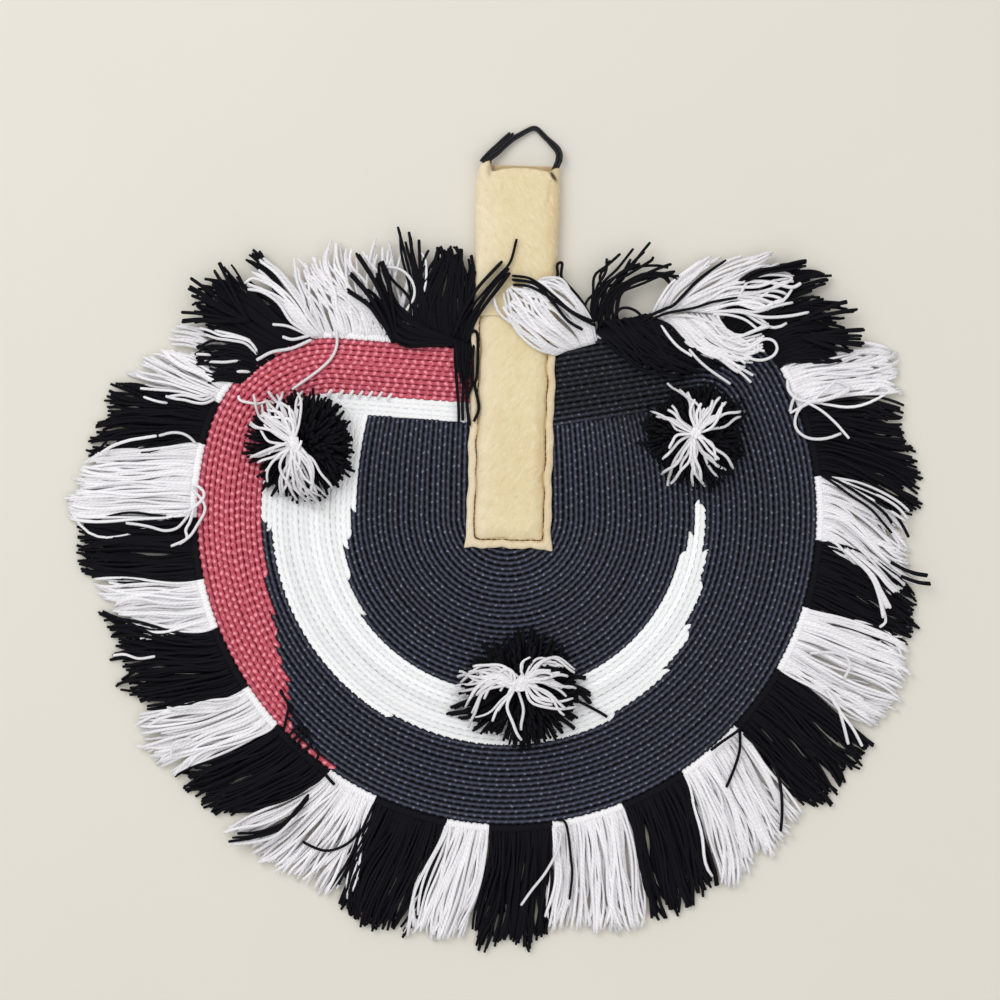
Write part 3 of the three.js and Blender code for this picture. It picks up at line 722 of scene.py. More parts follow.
def rim_line(inset):
    """The plate's outline moved in by an inset, from the dip at its top leftwards round to the dip again."""
    (ax, ay), (bx, by) = LEFT.normal, RIGHT.normal
    p, q = LEFT.height - inset, RIGHT.height - inset
    dip = np.array([p * by - q * ay, ax * q - bx * p]) / (ax * by - ay * bx)
    start, stop = angle_of(LEFT.centre), angle_of(RIGHT.centre)
    return np.concatenate(
        [
            [dip],
            arc(LEFT.centre, LEFT.radius - inset, LEFT.first, LEFT.last),
            arc((0, 0), PLATE_RADIUS - inset, start, stop + 360)[1:],
            arc(RIGHT.centre, RIGHT.radius - inset, RIGHT.first, RIGHT.last)[1:],
            [dip],
        ]
    )


def round_angles(points):
    """Angles of a line's points round the coil, in degrees, growing from the first one."""
    angles = np.degrees(np.unwrap(np.arctan2(points[:, 1], points[:, 0])))
    return angles - 360 * np.floor(angles[0] / 360)


_edges = {}


def edge_at(angles, offset):
    """Points on the plate's outline moved out by an offset, at angles seen from the coil's centre."""
    if offset not in _edges:
        line = even_path(rim_line(-offset), 0.5)
        _edges[offset] = (round_angles(line), line)
    known, line = _edges[offset]
    angles = known[0] + (np.asarray(angles, float) - known[0]) % 360
    return np.stack([np.interp(angles, known, line[:, k]) for k in (0, 1)], -1)


def inside_plate(points, inset):
    """Whether points lie inside the outline moved in by an inset."""
    below = [points @ side.normal < side.height - inset for side in (LEFT, RIGHT)]
    inside = (np.hypot(points[:, 0], points[:, 1]) < PLATE_RADIUS - inset) & (below[0] | below[1])
    for side in (LEFT, RIGHT):
        away = points - side.centre
        angle = np.degrees(np.arctan2(away[:, 1], away[:, 0]))
        corner = (angle > side.first) & (angle < side.last)
        inside &= ~corner | (np.hypot(away[:, 0], away[:, 1]) < side.radius - inset)
    return inside


def centre_line(radius):
    """A row of the centre: a round foot with two legs that bend inwards more the further out they are."""
    bend = (radius / CENTRE_RADIUS) ** LEG_BEND
    top = min(70.0, 0.97 * radius / math.sqrt(bend))
    height = np.linspace(0, top, 60)
    half = np.sqrt(np.maximum(radius**2 - bend * height**2, 0.0))
    left = np.stack([-half, height], -1)[::-1]
    right = np.stack([half, height], -1)
    return np.concatenate([left, arc((0, 0), radius, 180, 360)[1:-1], right])


def outside_slot(points):
    """Whether points are clear of the slot that the handle's wooden tongue goes through."""
    across, along = to_handle(points).T
    half = TONGUE_WIDTH / 2 + 0.5
    return ~((np.abs(across) < half) & (along > -half))


def runs(keep):
    """Start and stop of each stretch of true values."""
    edges = np.flatnonzero(np.diff(np.concatenate([[0], keep.astype(int), [0]])))
    return list(zip(edges[::2], edges[1::2]))


# ---------------------------------------------------------------------------------------------
# Coiled plate

# Sides of a row, points of its line in one stitch, rows in one piece, and an angle past the end of every row.
ROW_SIDES = 12
STITCH_POINTS = 4
CENTRE_ROWS_A_PIECE = 10
RIM_ROWS_A_PIECE = 5
PAST_ANY_ANGLE = 1e9

# Each strip's rows: how flat their top is, how much they swell, and how far a stitch reaches over the outer groove
# and over the inner one.
ROW_FORMS = {
    "dark_strip": (2.0, 0.02, 0.4, 0.7),
    "white_strip": (6.0, 0.01, 0.5, 0.0),
    "red_strip": (2.4, 0.03, 0.45, 0.4),
}


def row_rings(line, outward, pitch, beat, slant, slot, ends):
    """Rings of one row, with a slanted stitch raised on its ridge and across its outer groove at each beat. Its ends
    are pointed, each over the next row, where the colour changes."""
    flatness, bulge, bridge, tooth = ROW_FORMS[slot]
    turn = directions_round(ROW_SIDES)
    across, height = np.cos(turn), np.sin(turn)
    shear = beat[:, None] + slant * (across[None] - 0.3)
    stitch = np.exp(-(((shear % 1.0) - 0.5) / 0.17) ** 2) * np.clip(across + 0.35, 0, 1)[None]
    inner = np.exp(-(((shear % 1.0) - 0.2) / 0.11) ** 2) * np.clip(-across - 0.2, 0, 1)[None] * tooth
    reach = (pitch / 2 + 0.1) * across[None] * (1 + bridge * stitch * (across > 0) + inner)
    lift = np.sign(height) * (1 - np.abs(across) ** flatness) ** 0.5
    outer = stitch * (np.abs(across) > 0.6)
    lift = lift[None] * (0.9 + 0.1 * stitch) * (1 - outer) + np.sign(height)[None] * 0.88 * outer
    raised = np.clip(inner * 3, 0, 1) * (np.abs(height) > 0.1)
    lift = lift * (1 - raised) + np.sign(height)[None] * 1.02 * raised
    wave = 1 + bulge * np.sin(beat * 2 * math.pi + 1.2)[:, None]
    rise = PLATE_HALF * lift * wave
    flat = line[:, None] + outward[:, None] * reach[..., None]
    ahead = quarter_turned(outward)
    point = across * 1.5 * math.copysign(1.0, slant) + 0.9 * (1 - across**2)
    for ring, share in ((0, ends[0]), (1, ends[0] * 0.6), (-1, ends[1]), (-2, ends[1] * 0.6)):
        flat[ring] += ahead[ring] * (point * share)[:, None]
    return np.concatenate([flat, (MIDDLE + rise)[..., None]], -1), across


def drawn_up(line):
    """Rows left of the handle lie closer together, and the centre's legs there are longer."""
    share = ease((line[:, 0] + 112) / 26) * ease((2 - line[:, 0]) / 10)
    raised = np.interp(line[:, 1], [8, 45, 87], [0, 2.9, 0]) * share
    return line + np.stack([np.zeros(len(line)), raised], -1)


def add_row(skins, line, angles, marks, pitch, rng, number):
    """One row of the plate, cut where it changes colour and at the handle's slot."""
    line = drawn_up(line)
    place = np.arange(len(line))
    start = np.argmin(np.abs(angles - 180))
    beat = (place - start) / STITCH_POINTS + 0.5 * (number // 2 % 2) + rng.normal(0, 0.07)
    beat += 0.04 * np.sin(place * 0.03 + rng.random() * 6)
    stitches = np.arange(0, len(line) + STITCH_POINTS, STITCH_POINTS)
    beat += np.interp(place, stitches, rng.normal(0, 0.06, len(stitches)))
    ahead = unit(np.gradient(line, axis=0))
    outward = -quarter_turned(ahead)
    wander = 0.12 * np.sin(place * 0.05 + rng.random() * 6) + rng.normal(0, 0.03, len(line))
    line = line + outward * wander[:, None]
    slant = 0.16 if number % 2 else -0.16
    tone = 0.5 + 0.12 * rng.normal() + 0.1 * np.sin(place * 0.011 + rng.random() * 6)
    # Painted shade: rows in the top-right band, under the black locks, are darkened.
    shaded = ease((line[:, 1] - 38) / 20) * ease((line[:, 0] - 4) / 10) * ease((104 - line[:, 0]) / 20)
    tone = tone - 0.9 * shaded
    clear = outside_slot(line)
    begin = -PAST_ANY_ANGLE
    for slot, stop in marks:
        keep = clear & (angles >= begin) & (angles < stop)
        for first, last in runs(keep):
            first = max(first - 1, 0)
            if last - first < STITCH_POINTS:
                continue
            part = slice(first, last)
            ends = (abs(angles[first] - begin) < 2, abs(angles[last - 1] - stop) < 2)
            rings, across = row_rings(line[part], outward[part], pitch, beat[part], slant, slot, ends)
            wrapped = np.append(across, across[0])
            along = np.repeat(beat[part][:, None], len(wrapped), 1)
            around = (wrapped + 1) / 2 + 2 * (number % 2)
            skins.setdefault(slot, Skin()).add(rings[None], along[None], around[None, None], tone[part])
        begin = stop


def plate_skins(spacing):
    """The rows' skins by slot, a few rows at a time, each with the zone that the rows belong to."""
    rng = np.random.default_rng(7)
    groups = []
    for first in range(0, CENTRE_ROWS, CENTRE_ROWS_A_PIECE):
        skins = {}
        for row in range(first, min(first + CENTRE_ROWS_A_PIECE, CENTRE_ROWS)):
            radius = CENTRE_FIRST + (row + 0.5) * CENTRE_PITCH
            line = even_path(centre_line(radius), spacing)
            line = line[inside_plate(line, RIM_WIDTH - 0.9)]
            marks = [("dark_strip", PAST_ANY_ANGLE)]
            if row >= CENTRE_WHITE_FIRST:
                marks.insert(0, ("white_strip", 180 + CENTRE_WHITE_ENDS[row - CENTRE_WHITE_FIRST]))
            add_row(skins, line, round_angles(line), marks, CENTRE_PITCH, rng, row)
        groups.append(("centre", skins))
    for first in range(0, RIM_ROWS, RIM_ROWS_A_PIECE):
        skins = {}
        for row in range(first, first + RIM_ROWS_A_PIECE):
            line = even_path(rim_line(RIM_WIDTH - (row + 0.5) * RIM_PITCH), spacing)
            marks = [("dark_strip", PAST_ANY_ANGLE)]
            if row >= RIM_RED_FIRST:
                marks.insert(0, ("red_strip", 180 + RIM_RED_ENDS[row - RIM_RED_FIRST]))
            if row < len(RIM_WHITE_ENDS):
                marks.insert(0, ("white_strip", 180 + RIM_WHITE_ENDS[row]))
            add_row(skins, line, round_angles(line), marks, RIM_PITCH, rng, row)
        groups.append(("rim", skins))
    return groups


PLATE_NODES = {
    ("centre", "dark_strip"): "centre_coil_dark",
    ("centre", "white_strip"): "centre_coil_white",
    ("rim", "dark_strip"): "rim_coil_black",
    ("rim", "white_strip"): "rim_coil_white",
    ("rim", "red_strip"): "rim_coil_red",
}


# ---------------------------------------------------------------------------------------------
# Yarn

# Sides of a strand, how thin it is at its root and its tip, and the length of one turn of its twist.
STRAND_SIDES = 6
STRAND_ROOT = 0.7
STRAND_TIP = 0.85
TWIST_LENGTH = 2.6


def add_strands(skin, paths, rng, width):
    """Strands of yarn along paths in millimetres from the coil's centre."""
    count, length = paths.shape[:2]
    radius = width / 2 * (1 + rng.normal(0, 0.07, (count, 1)))
    radii = np.repeat(radius, length, axis=1)
    radii[:, 0] *= STRAND_ROOT
    radii[:, -1] *= STRAND_TIP
    steps = np.linalg.norm(np.diff(paths, axis=1), axis=-1)
    reach = np.concatenate([np.zeros((count, 1)), np.cumsum(steps, axis=1)], 1)
    along = reach / TWIST_LENGTH + rng.random((count, 1))
    around = np.arange(STRAND_SIDES + 1) / STRAND_SIDES
    paths[..., 2] = np.maximum(paths[..., 2], width * 0.65)
    height = paths[..., 2]
    # Painted shade: a strand that lies lower than the others at the same point is darker, besides its random
    # variation.
    raised = (height - height.mean(0)) / (height.std(0) + 0.3)
    tone = np.clip(0.42 + 0.2 * raised + 0.4 * rng.random((count, 1)), 0, 1)
    skin.add(rings_round(paths, radii, STRAND_SIDES), along[..., None], around[None, None], tone)


# The heading's tape: the spacing of its rings, the length of one rib and its sides.
HEADING_STEP = 0.3
HEADING_RIB = 1.5
HEADING_SIDES = 12

# Heights between which a bundle's strands lie, at shares of their way from root to tip, the least height of a
# strand's middle line above the surface, and the points along it.
TASSEL_SHARES = [0.0, 0.25, 0.65, 1.0]
TASSEL_LOW = [3.4, 0.8, 0.0, 0.0]
TASSEL_HIGH = [6.2, 7.4, 6.2, 3.6]
LOWEST_STRAND = 0.85
TASSEL_POINTS = 15

# The layout on which the fringe's tips, the tousled bundles and the stray strands are placed counts half millimetres
# to the right and down from its corner. This is the coil's centre there.
LAYOUT_CENTRE = (507, 515)


def from_layout(stations):
    """Stations of the layout, in millimetres from the coil's centre and to a tenth. Heights stay as they are."""
    right, down = LAYOUT_CENTRE
    return [(round((x - right) / 2, 1), round((down - y) / 2, 1), *height) for x, y, *height in stations]


# The sewn bundles round the rim, from the left of the handle round the foot of the fan: the angles of the two ends
# of the root, and the tips' line on the layout, or nothing where sheaves make up the bundle.
TASSELS = [
    (104, 123, None),
    (123, 137, None),
    (137, 153, None),
    (153, 158.8, [(192, 350), (160, 352), (140, 362), (125, 378)]),
    (158.8, 166.8, [(120, 380), (108, 388), (102, 408), (94, 427), (86, 440), (84, 459)]),
    (166.8, 180.5, [(98, 453), (82, 468), (74, 485), (70, 500), (71, 517)]),
    (180.5, 191.8, [(82, 517), (79, 530), (82, 548), (80, 562), (84, 578)]),
    (191.8, 201.3, [(88, 577), (97, 590), (104, 600), (114, 611), (136, 640)]),
    (201.3, 213.4, [(98, 613), (106, 630), (110, 651), (116, 670), (120, 684), (127, 697), (154, 714)]),
    (213.4, 222.4, [(140, 712), (138, 730), (142, 749), (160, 764), (176, 776)]),
    (222.4, 235.2, [(176, 776), (186, 788), (197, 797), (205, 810), (222, 814), (242, 812)]),
    (235.2, 245.2, [(224, 830), (250, 852), (268, 868), (300, 884), (322, 898), (346, 904)]),
    (245.2, 258.8, [(332, 890), (345, 910), (361, 923), (380, 930), (397, 934), (408, 932)]),
    (258.8, 266.8, [(404, 932), (420, 937), (438, 937), (452, 940), (463, 938)]),
    (266.8, 278.3, [(468, 930), (487, 950), (505, 943), (520, 950), (538, 950), (548, 936)]),
    (278.3, 291.8, [(548, 930), (565, 930), (580, 934), (596, 934), (615, 934), (632, 930), (648, 925)]),
    (291.8, 304.2, [(652, 918), (668, 912), (684, 914), (703, 898), (717, 884)]),
    (304.2, 317.3, [(716, 882), (734, 887), (748, 872), (762, 862), (776, 850), (793, 829), (805, 817)]),
    (317.3, 330.3, [(813, 810), (822, 808), (830, 806), (839, 792), (851, 776), (862, 758), (872, 739)]),
    (330.3, 342.9, [(876, 730), (888, 718), (898, 706), (903, 690), (906, 673), (908, 640)]),
    (342.9, 355.3, [(902, 650), (912, 634), (918, 622), (912, 610), (920, 598)]),
    (355.3, 367.2, [(892, 608), (899, 594), (916, 583), (914, 570), (914, 556), (908, 536), (906, 518)]),
    (367.2, 380.2, [(898, 520), (920, 508), (917, 490), (923, 472), (912, 450), (904, 428), (902, 404)]),
    (380.2, 388.3, [(903, 394), (896, 386), (903, 370), (900, 352), (885, 346)]),
    (388.3, 398.7, None),
    (398.7, 411.2, None),
    (411.2, 421.5, None),
]


# Stretches of the heading whose colour doesn't change where the bundles' roots do, by the number of the bundle.
HEADING_STRETCHES = {0: (105.3, 123), 24: (388.3, 403.0), 25: (403.0, 411.2), 27: (421.5, 428.0)}


def tassel_paths(rng, start, stop, tips, count, raised):
    """Strands from a stretch of the rim to a line of tips, in loose clumps and several layers."""
    share = (np.arange(count) + rng.random(count)) / count
    layer = rng.random(count)
    clumps = max(3, int(count / 11))
    clump = np.floor(share * clumps + rng.normal(0, 0.25, count))
    clump_seed = rng.random((clumps + 4, 6))
    seed = clump_seed[np.clip(clump.astype(int) + 2, 0, clumps + 3)]

    angle = start + (stop - start) * share
    root = edge_at(angle, 2.4)
    normal = unit(edge_at(angle, 4.0) - root)
    tips = np.asarray(tips, float)
    reach = np.concatenate([[0], np.cumsum(np.linalg.norm(np.diff(tips, axis=0), axis=1))])
    drawn = (clump + 0.5) / clumps
    fingers = max(4, int(count / 4.5))
    finger = np.floor(share * fingers)
    near = (finger + 0.2 + 0.6 * rng.random(fingers + 1)[finger.astype(int)]) / fingers
    place = share + (drawn - share) * 0.25 + (near - share) * 0.7 + rng.normal(0, 0.02, count)
    place = np.clip(place, 0, 1) * reach[-1]
    tip = np.stack([np.interp(place, reach, tips[:, k]) for k in (0, 1)], -1)
    shorter = np.abs(rng.normal(0, 0.05, count)) + (rng.random(count) < 0.3) * rng.random(count) * 0.3
    shorter += (seed[:, 0] - 0.5) * 0.06 + 0.09 * rng.random(fingers + 1)[finger.astype(int)]
    tip = root + (tip - root) * (1.05 - shorter[:, None])

    away = tip - root
    length = np.linalg.norm(away, axis=-1, keepdims=True)
    across = quarter_turned(away) / length
    t = np.linspace(0, 1, TASSEL_POINTS)[None, :, None]
    h00, h10 = 2 * t**3 - 3 * t**2 + 1, t**3 - 2 * t**2 + t
    h01, h11 = -2 * t**3 + 3 * t**2, t**3 - t**2
    astray = (rng.random(count) < 0.07) * rng.normal(0, 0.4, count)
    leave = (normal * 0.8 + across * (rng.normal(0, 0.08, count) + (seed[:, 1] - 0.5) * 0.14)[:, None]) * length
    arrive = away + across * length * (rng.normal(0, 0.16, count) + (seed[:, 2] - 0.5) * 0.55 + astray)[:, None]
    flat = h00 * root[:, None] + h10 * leave[:, None] + h01 * tip[:, None] + h11 * arrive[:, None]
    sway = np.sin(t[..., 0] * (5 + 3 * seed[:, 3:4]) + seed[:, 4:5] * FULL_TURN) * (0.9 + 0.5 * seed[:, 5:6])
    own = waves(rng, t[..., 0], 6, 12, (count, 1)) * rng.uniform(0.2, 1.2, (count, 1))
    flat = flat + across[:, None] * ((sway + own) * t[..., 0])[..., None]

    low = np.interp(t[0, :, 0], TASSEL_SHARES, TASSEL_LOW)[None]
    high = np.interp(t[0, :, 0], TASSEL_SHARES, TASSEL_HIGH)[None]
    rise = low + LOWEST_STRAND + raised * t[..., 0] + layer[:, None] * (high - low - 2 * LOWEST_STRAND)
    rise = rise + 0.5 * waves(rng, t[..., 0], 3, 8, (count, 1)) * t[..., 0]
    return np.concatenate([flat, np.maximum(rise, LOWEST_STRAND)[..., None]], -1)


# The strands in one lock of a sheaf, and how much they draw together.
SHEAF_LOCKS = {"black": (5, 0.78), "white": (4, 0.2)}
# How thick a sheaf gets, and the points along its strands and along the finer line that they are taken from.
SHEAF_THICKNESS = 2.2
SHEAF_POINTS = 18
FINE_POINTS = 60


def sheaf_paths(rng, one, other, count, loose, short, wave, lock_size, together):
    """Strands between the two edges of a flat sheaf. They gather in locks, drift apart and end unevenly."""
    share = (np.arange(count) + rng.random(count)) / count
    locks = max(2, count // lock_size)
    lock = (np.floor(share * locks) + 0.5) / locks
    drawn = np.linspace(0, 1, len(one))[None] ** 1.5
    drift = np.cumsum(rng.normal(0, loose, (count, len(one))), 1) * 0.8
    astray = (rng.random((count, 1)) < 0.22) * rng.normal(0, 0.22, (count, 1))
    together = together if count > 10 else 0.0
    mixed = share[:, None] + (lock - share)[:, None] * together * drawn + (drift + astray) * drawn
    mixed = np.clip(mixed, -0.12, 1.12)[..., None]
    stations = one[None] * (1 - mixed) + other[None] * mixed
    stations[..., 2] += rng.random((count, 1)) * SHEAF_THICKNESS * np.linspace(0.4, 1, len(one))[None]
    paths = smooth_path(stations, FINE_POINTS)
    longer = rng.random(locks + 1)[(share * locks).astype(int)] * short * 1.2
    uneven = ((short * 2.2 + 0.16) * rng.random(count) ** 1.4 + longer) * min(1.0, count / 12)
    stop = (FINE_POINTS - 1) * (1 - np.minimum(uneven, 0.6))
    along = np.linspace(0, 1, SHEAF_POINTS)[None]
    place = along * stop[:, None]
    first = np.minimum(place.astype(int), FINE_POINTS - 2)
    t = (place - first)[..., None]
    rows = np.arange(count)[:, None]
    paths = paths[rows, first] * (1 - t) + paths[rows, first + 1] * t
    ahead = unit(np.gradient(paths[..., :2], axis=1))
    across = quarter_turned(ahead)
    sway = waves(rng, along, 5, 11, (count, 1)) * wave * along
    paths[..., :2] += across * sway[..., None]
    paths[..., 2] = np.maximum(paths[..., 2], 0.9)
    return paths


def yarn_width():
    """The width of one strand, in millimetres."""
    return bpy.context.scene.fan_sizes.yarn_width / MM


# Tousled bundles, as sheaves. Each has its number of strands, how loose, how uneven and how wavy they are, the
# height at each station, and the stations of the sheaf's two edges on the layout.
SHEAVES = [
    ("tassel_01_black", [
        (34, 0.1, 0.1, 0.7, [5.2, 8.2, 8.6, 7.6, 6.4, 4.6],
         [(470, 344), (432, 347), (403, 345), (384, 325), (366, 301), (348, 289.5)],
         [(452, 338), (425, 328), (405, 312), (392, 297), (386, 279), (381, 260)]),
        (6, 0.2, 0.02, 0.6, [5.2, 7.6, 7.6, 6.6, 5.2],
         [(418, 337), (419, 310), (416, 285), (410, 262), (402, 229)],
         [(430, 338), (428, 312), (424, 290), (421, 265), (418, 240)]),
        (50, 0.12, 0.12, 0.7, [5.2, 7.4, 7.4, 6.6, 5.6, 4.4],
         [(418, 338), (411, 314), (415, 293), (426, 270), (433, 252), (436, 244.5)],
         [(474, 343), (473, 314), (474.5, 288), (473.5, 268), (468, 253), (465, 245)]),
    ]),
    ("tassel_02_white", [
        (11, 0.18, 0.05, 0.9, [5.2, 8.4, 8.6, 8.2, 7.4, 6.4],
         [(314, 338), (304, 331), (293, 320), (281, 303), (262, 290), (246, 284)],
         [(326, 336), (313, 318), (303, 300), (290, 285), (272, 268), (250, 254)]),
        (14, 0.24, 0.05, 1.1, [5, 6.6, 6.6, 5.6, 4.4],
         [(316, 339), (309, 318), (306, 300), (299, 280), (294, 258)],
         [(354, 336), (346, 312), (332, 292), (316, 268), (305, 250)]),
        (10, 0.22, 0.08, 1, [5, 6, 6, 5.4, 4.6, 3.6],
         [(352, 336), (348, 316), (336, 298), (318, 288), (304, 284), (294, 276)],
         [(386, 338), (372, 312), (352, 296), (332, 286), (314, 276), (304, 262)]),
        (13, 0.28, 0.05, 1.2, [5, 5.6, 5.2, 4.4, 3.4],
         [(340, 336), (334, 310), (326, 285), (320, 262), (330, 236)],
         [(374, 336), (366, 310), (354, 285), (342, 262), (340, 234)]),
        (20, 0.24, 0.05, 1.1, [5, 5.4, 4.8, 4, 3],
         [(356, 336), (360, 310), (358, 285), (354, 262), (355, 237)],
         [(396, 338), (404, 310), (407, 285), (404, 262), (402, 235)]),
    ]),
    ("tassel_03_black", [
        (10, 0.06, 0.03, 0.5, [5, 6.4, 6.6, 6, 5.2, 4.2],
         [(314, 339), (301, 318), (285, 290), (272, 270), (262, 256), (254, 245.5)],
         [(307, 342), (296, 322), (281, 298), (268, 278), (256, 264), (246, 257)]),
        (16, 0.16, 0.16, 0.8, [4.8, 5.6, 5.6, 5.2, 4.6, 4],
         [(312, 339), (303, 322), (290, 305), (272, 290), (256, 282), (246, 280)],
         [(308, 341), (296, 330), (282, 318), (266, 308), (254, 302), (246, 300)]),
        (40, 0.1, 0.14, 0.7, [5, 6.8, 7, 6.2, 5, 4],
         [(310, 341), (285, 322), (264, 303), (249, 288), (236, 274), (222, 260)],
         [(292, 348), (265, 330), (240, 312), (222, 303), (203, 295), (188, 290)]),
        (24, 0.12, 0.12, 0.7, [5, 6.6, 6.8, 6, 4.8, 3.8],
         [(296, 347), (264, 330), (237, 312), (220, 304), (206, 299), (194, 295)],
         [(274, 358), (252, 345), (229, 332), (212, 324), (198, 319), (184, 322)]),
        (14, 0.12, 0.06, 0.5, [5, 6.4, 6.2, 5.2, 4],
         [(278, 356), (258, 344), (238, 334), (220, 328), (200, 324)],
         [(264, 366), (248, 352), (232, 345), (218, 340), (204, 336)]),
        (34, 0.09, 0.1, 0.6, [5, 6.6, 6.8, 5.8, 4.8, 3.8],
         [(274, 358), (252, 350), (231, 345), (213, 346), (200, 350), (192, 357)],
         [(243, 384), (236, 383), (227, 383), (216, 382), (205, 380), (195, 374)]),
    ]),
    ("tassel_25_black", [
        (16, 0.14, 0.1, 0.8, [4.8, 6, 6.2, 5.6, 4.8],
         [(716, 334), (734, 312), (752, 298), (772, 288), (790, 284)],
         [(742, 348), (760, 330), (778, 318), (796, 312), (812, 308)]),
        (12, 0.08, 0.04, 0.6, [4.8, 4.6, 4.4, 4, 3.6, 3],
         [(724, 320), (730, 296), (741, 281), (760, 269), (784, 264), (806, 259.5)],
         [(736, 324), (746, 302), (758, 288), (774, 280), (790, 274), (806, 269)]),
        (30, 0.12, 0.08, 0.7, [4.8, 4.8, 4.8, 4.4, 4, 3.4],
         [(738, 326), (753, 303), (768, 288), (790, 276), (812, 272), (830, 275)],
         [(752, 334), (766, 314), (784, 303), (802, 296), (818, 290), (838, 281)]),
        (26, 0.12, 0.1, 0.7, [4.8, 5.4, 5.2, 4.6, 4, 3.4],
         [(750, 332), (768, 316), (788, 306), (806, 300), (826, 298), (846, 302.5)],
         [(762, 344), (780, 328), (798, 319), (816, 316), (834, 316), (854, 313)]),
        (60, 0.1, 0.09, 0.7, [4.8, 6.2, 6.2, 5.6, 4.6, 3.6],
         [(760, 342), (782, 328), (802, 322), (820, 320), (838, 321), (856, 326)],
         [(776, 366), (791, 363), (806, 362), (820, 361), (834, 360), (847, 358)]),
    ]),
    ("tassel_26_white", [
        (9, 0.26, 0.04, 0.9, [5, 6.4, 5.8, 4.6, 3.2],
         [(652, 313), (660, 300), (675, 281), (696, 264), (719, 251.5)],
         [(666, 311), (673, 300), (687, 285), (706, 268), (724, 256)]),
        (13, 0.34, 0.08, 1, [5, 7, 7, 6.6, 6, 5.2],
         [(664, 312), (680, 300), (706, 284), (734, 270), (760, 260), (782, 252.5)],
         [(690, 311), (702, 306), (726, 293), (752, 281), (774, 274), (796, 276)]),
        (13, 0.36, 0.06, 1.1, [5.2, 8, 8.2, 8, 7.6, 6.8],
         [(672, 311), (699, 303), (728, 292), (756, 288), (780, 283), (798, 284)],
         [(706, 312), (716, 313), (736, 310), (756, 318), (778, 322), (802, 313)]),
        (26, 0.26, 0.1, 1.2, [5.6, 8.4, 8.8, 8.8, 9, 9],
         [(656, 314), (676, 334), (692, 350), (712, 359), (734, 366), (749, 374)],
         [(694, 316), (704, 330), (718, 343), (734, 350), (750, 352), (766, 344)]),
        (12, 0.36, 0.05, 1.1, [5.6, 9.4, 9.8, 9.8, 9.6, 9.4],
         [(682, 314), (694, 326), (708, 340), (726, 349), (744, 350), (760, 340)],
         [(716, 314), (720, 322), (726, 331), (738, 337), (752, 335), (770, 326)]),
    ]),
    ("tassel_25_black", [
        (6, 0.03, 0.03, 0.4, [7, 9.6, 9.6, 8.8, 8],
         [(733, 286), (743, 278), (756, 270.5), (780, 266), (806, 260)],
         [(738, 287.5), (750, 280.5), (767, 274), (789, 272), (806, 267.5)]),
    ]),
    ("tassel_27_black", [
        (8, 0.3, 0.1, 1, [5.2, 9.4, 9.6, 8.6, 7.4, 6],
         [(588, 330), (590, 310), (595, 291), (600, 275), (612, 262), (621, 254)],
         [(620, 323), (617, 306), (622, 293), (640, 282), (660, 275), (677, 272)]),
        (20, 0.1, 0.1, 0.9, [5.2, 8.6, 9.4, 9.6, 9.4, 9.2],
         [(598, 329), (602, 322), (612, 330), (624, 345), (640, 356), (652, 362)],
         [(650, 314), (651, 318), (655, 326), (664, 338), (678, 350), (690, 357)]),
    ]),
    ("tassel_27_lock_over_plate", [
        (50, 0.12, 0.12, 0.8, [6, 9.4, 9.4, 9, 8.6, 8.2],
         [(646, 314), (660, 321), (673, 331), (687, 346), (705, 357), (738, 375)],
         [(594, 331), (606, 341), (622, 354), (640, 364), (664, 373), (696, 380)]),
    ]),
    ("tassel_28_white", [
        (42, 0.1, 0.02, 0.9, [5.5, 8.5, 11.4, 11.6, 11.3, 10.9],
         [(597, 343), (590, 320), (577, 302), (560, 288), (544, 284), (525, 286)],
         [(562, 352), (552, 355.5), (536, 350), (516, 333), (503, 312), (498, 290)]),
    ]),
    ("tassel_01_lock_over_handle", [
        (2, 0.02, 0.02, 0.2, [7, 9, 10.6, 10.8, 10.8],
         [(452, 336), (461, 313), (473, 292), (486, 277), (499, 263.5)],
         [(455, 338), (465, 314), (478, 294), (492, 277), (508, 259)]),
        (4, 0.02, 0.02, 0.2, [7, 9, 11.2, 11.4, 11.2],
         [(462, 341), (470, 320), (482, 301), (495, 285), (509, 268)],
         [(468, 344), (476, 324), (488, 306), (500, 290), (512, 274)]),
    ]),
    ("tassel_01_lock_beside_handle", [
        (10, 0.1, 0.04, 0.6, [6.2, 9, 9.2, 9, 8.6],
         [(455, 339), (455.5, 350), (457, 362), (459, 374), (463, 384)],
         [(474, 343), (473, 354), (471.5, 366), (469, 378), (466, 390)]),
    ]),
]

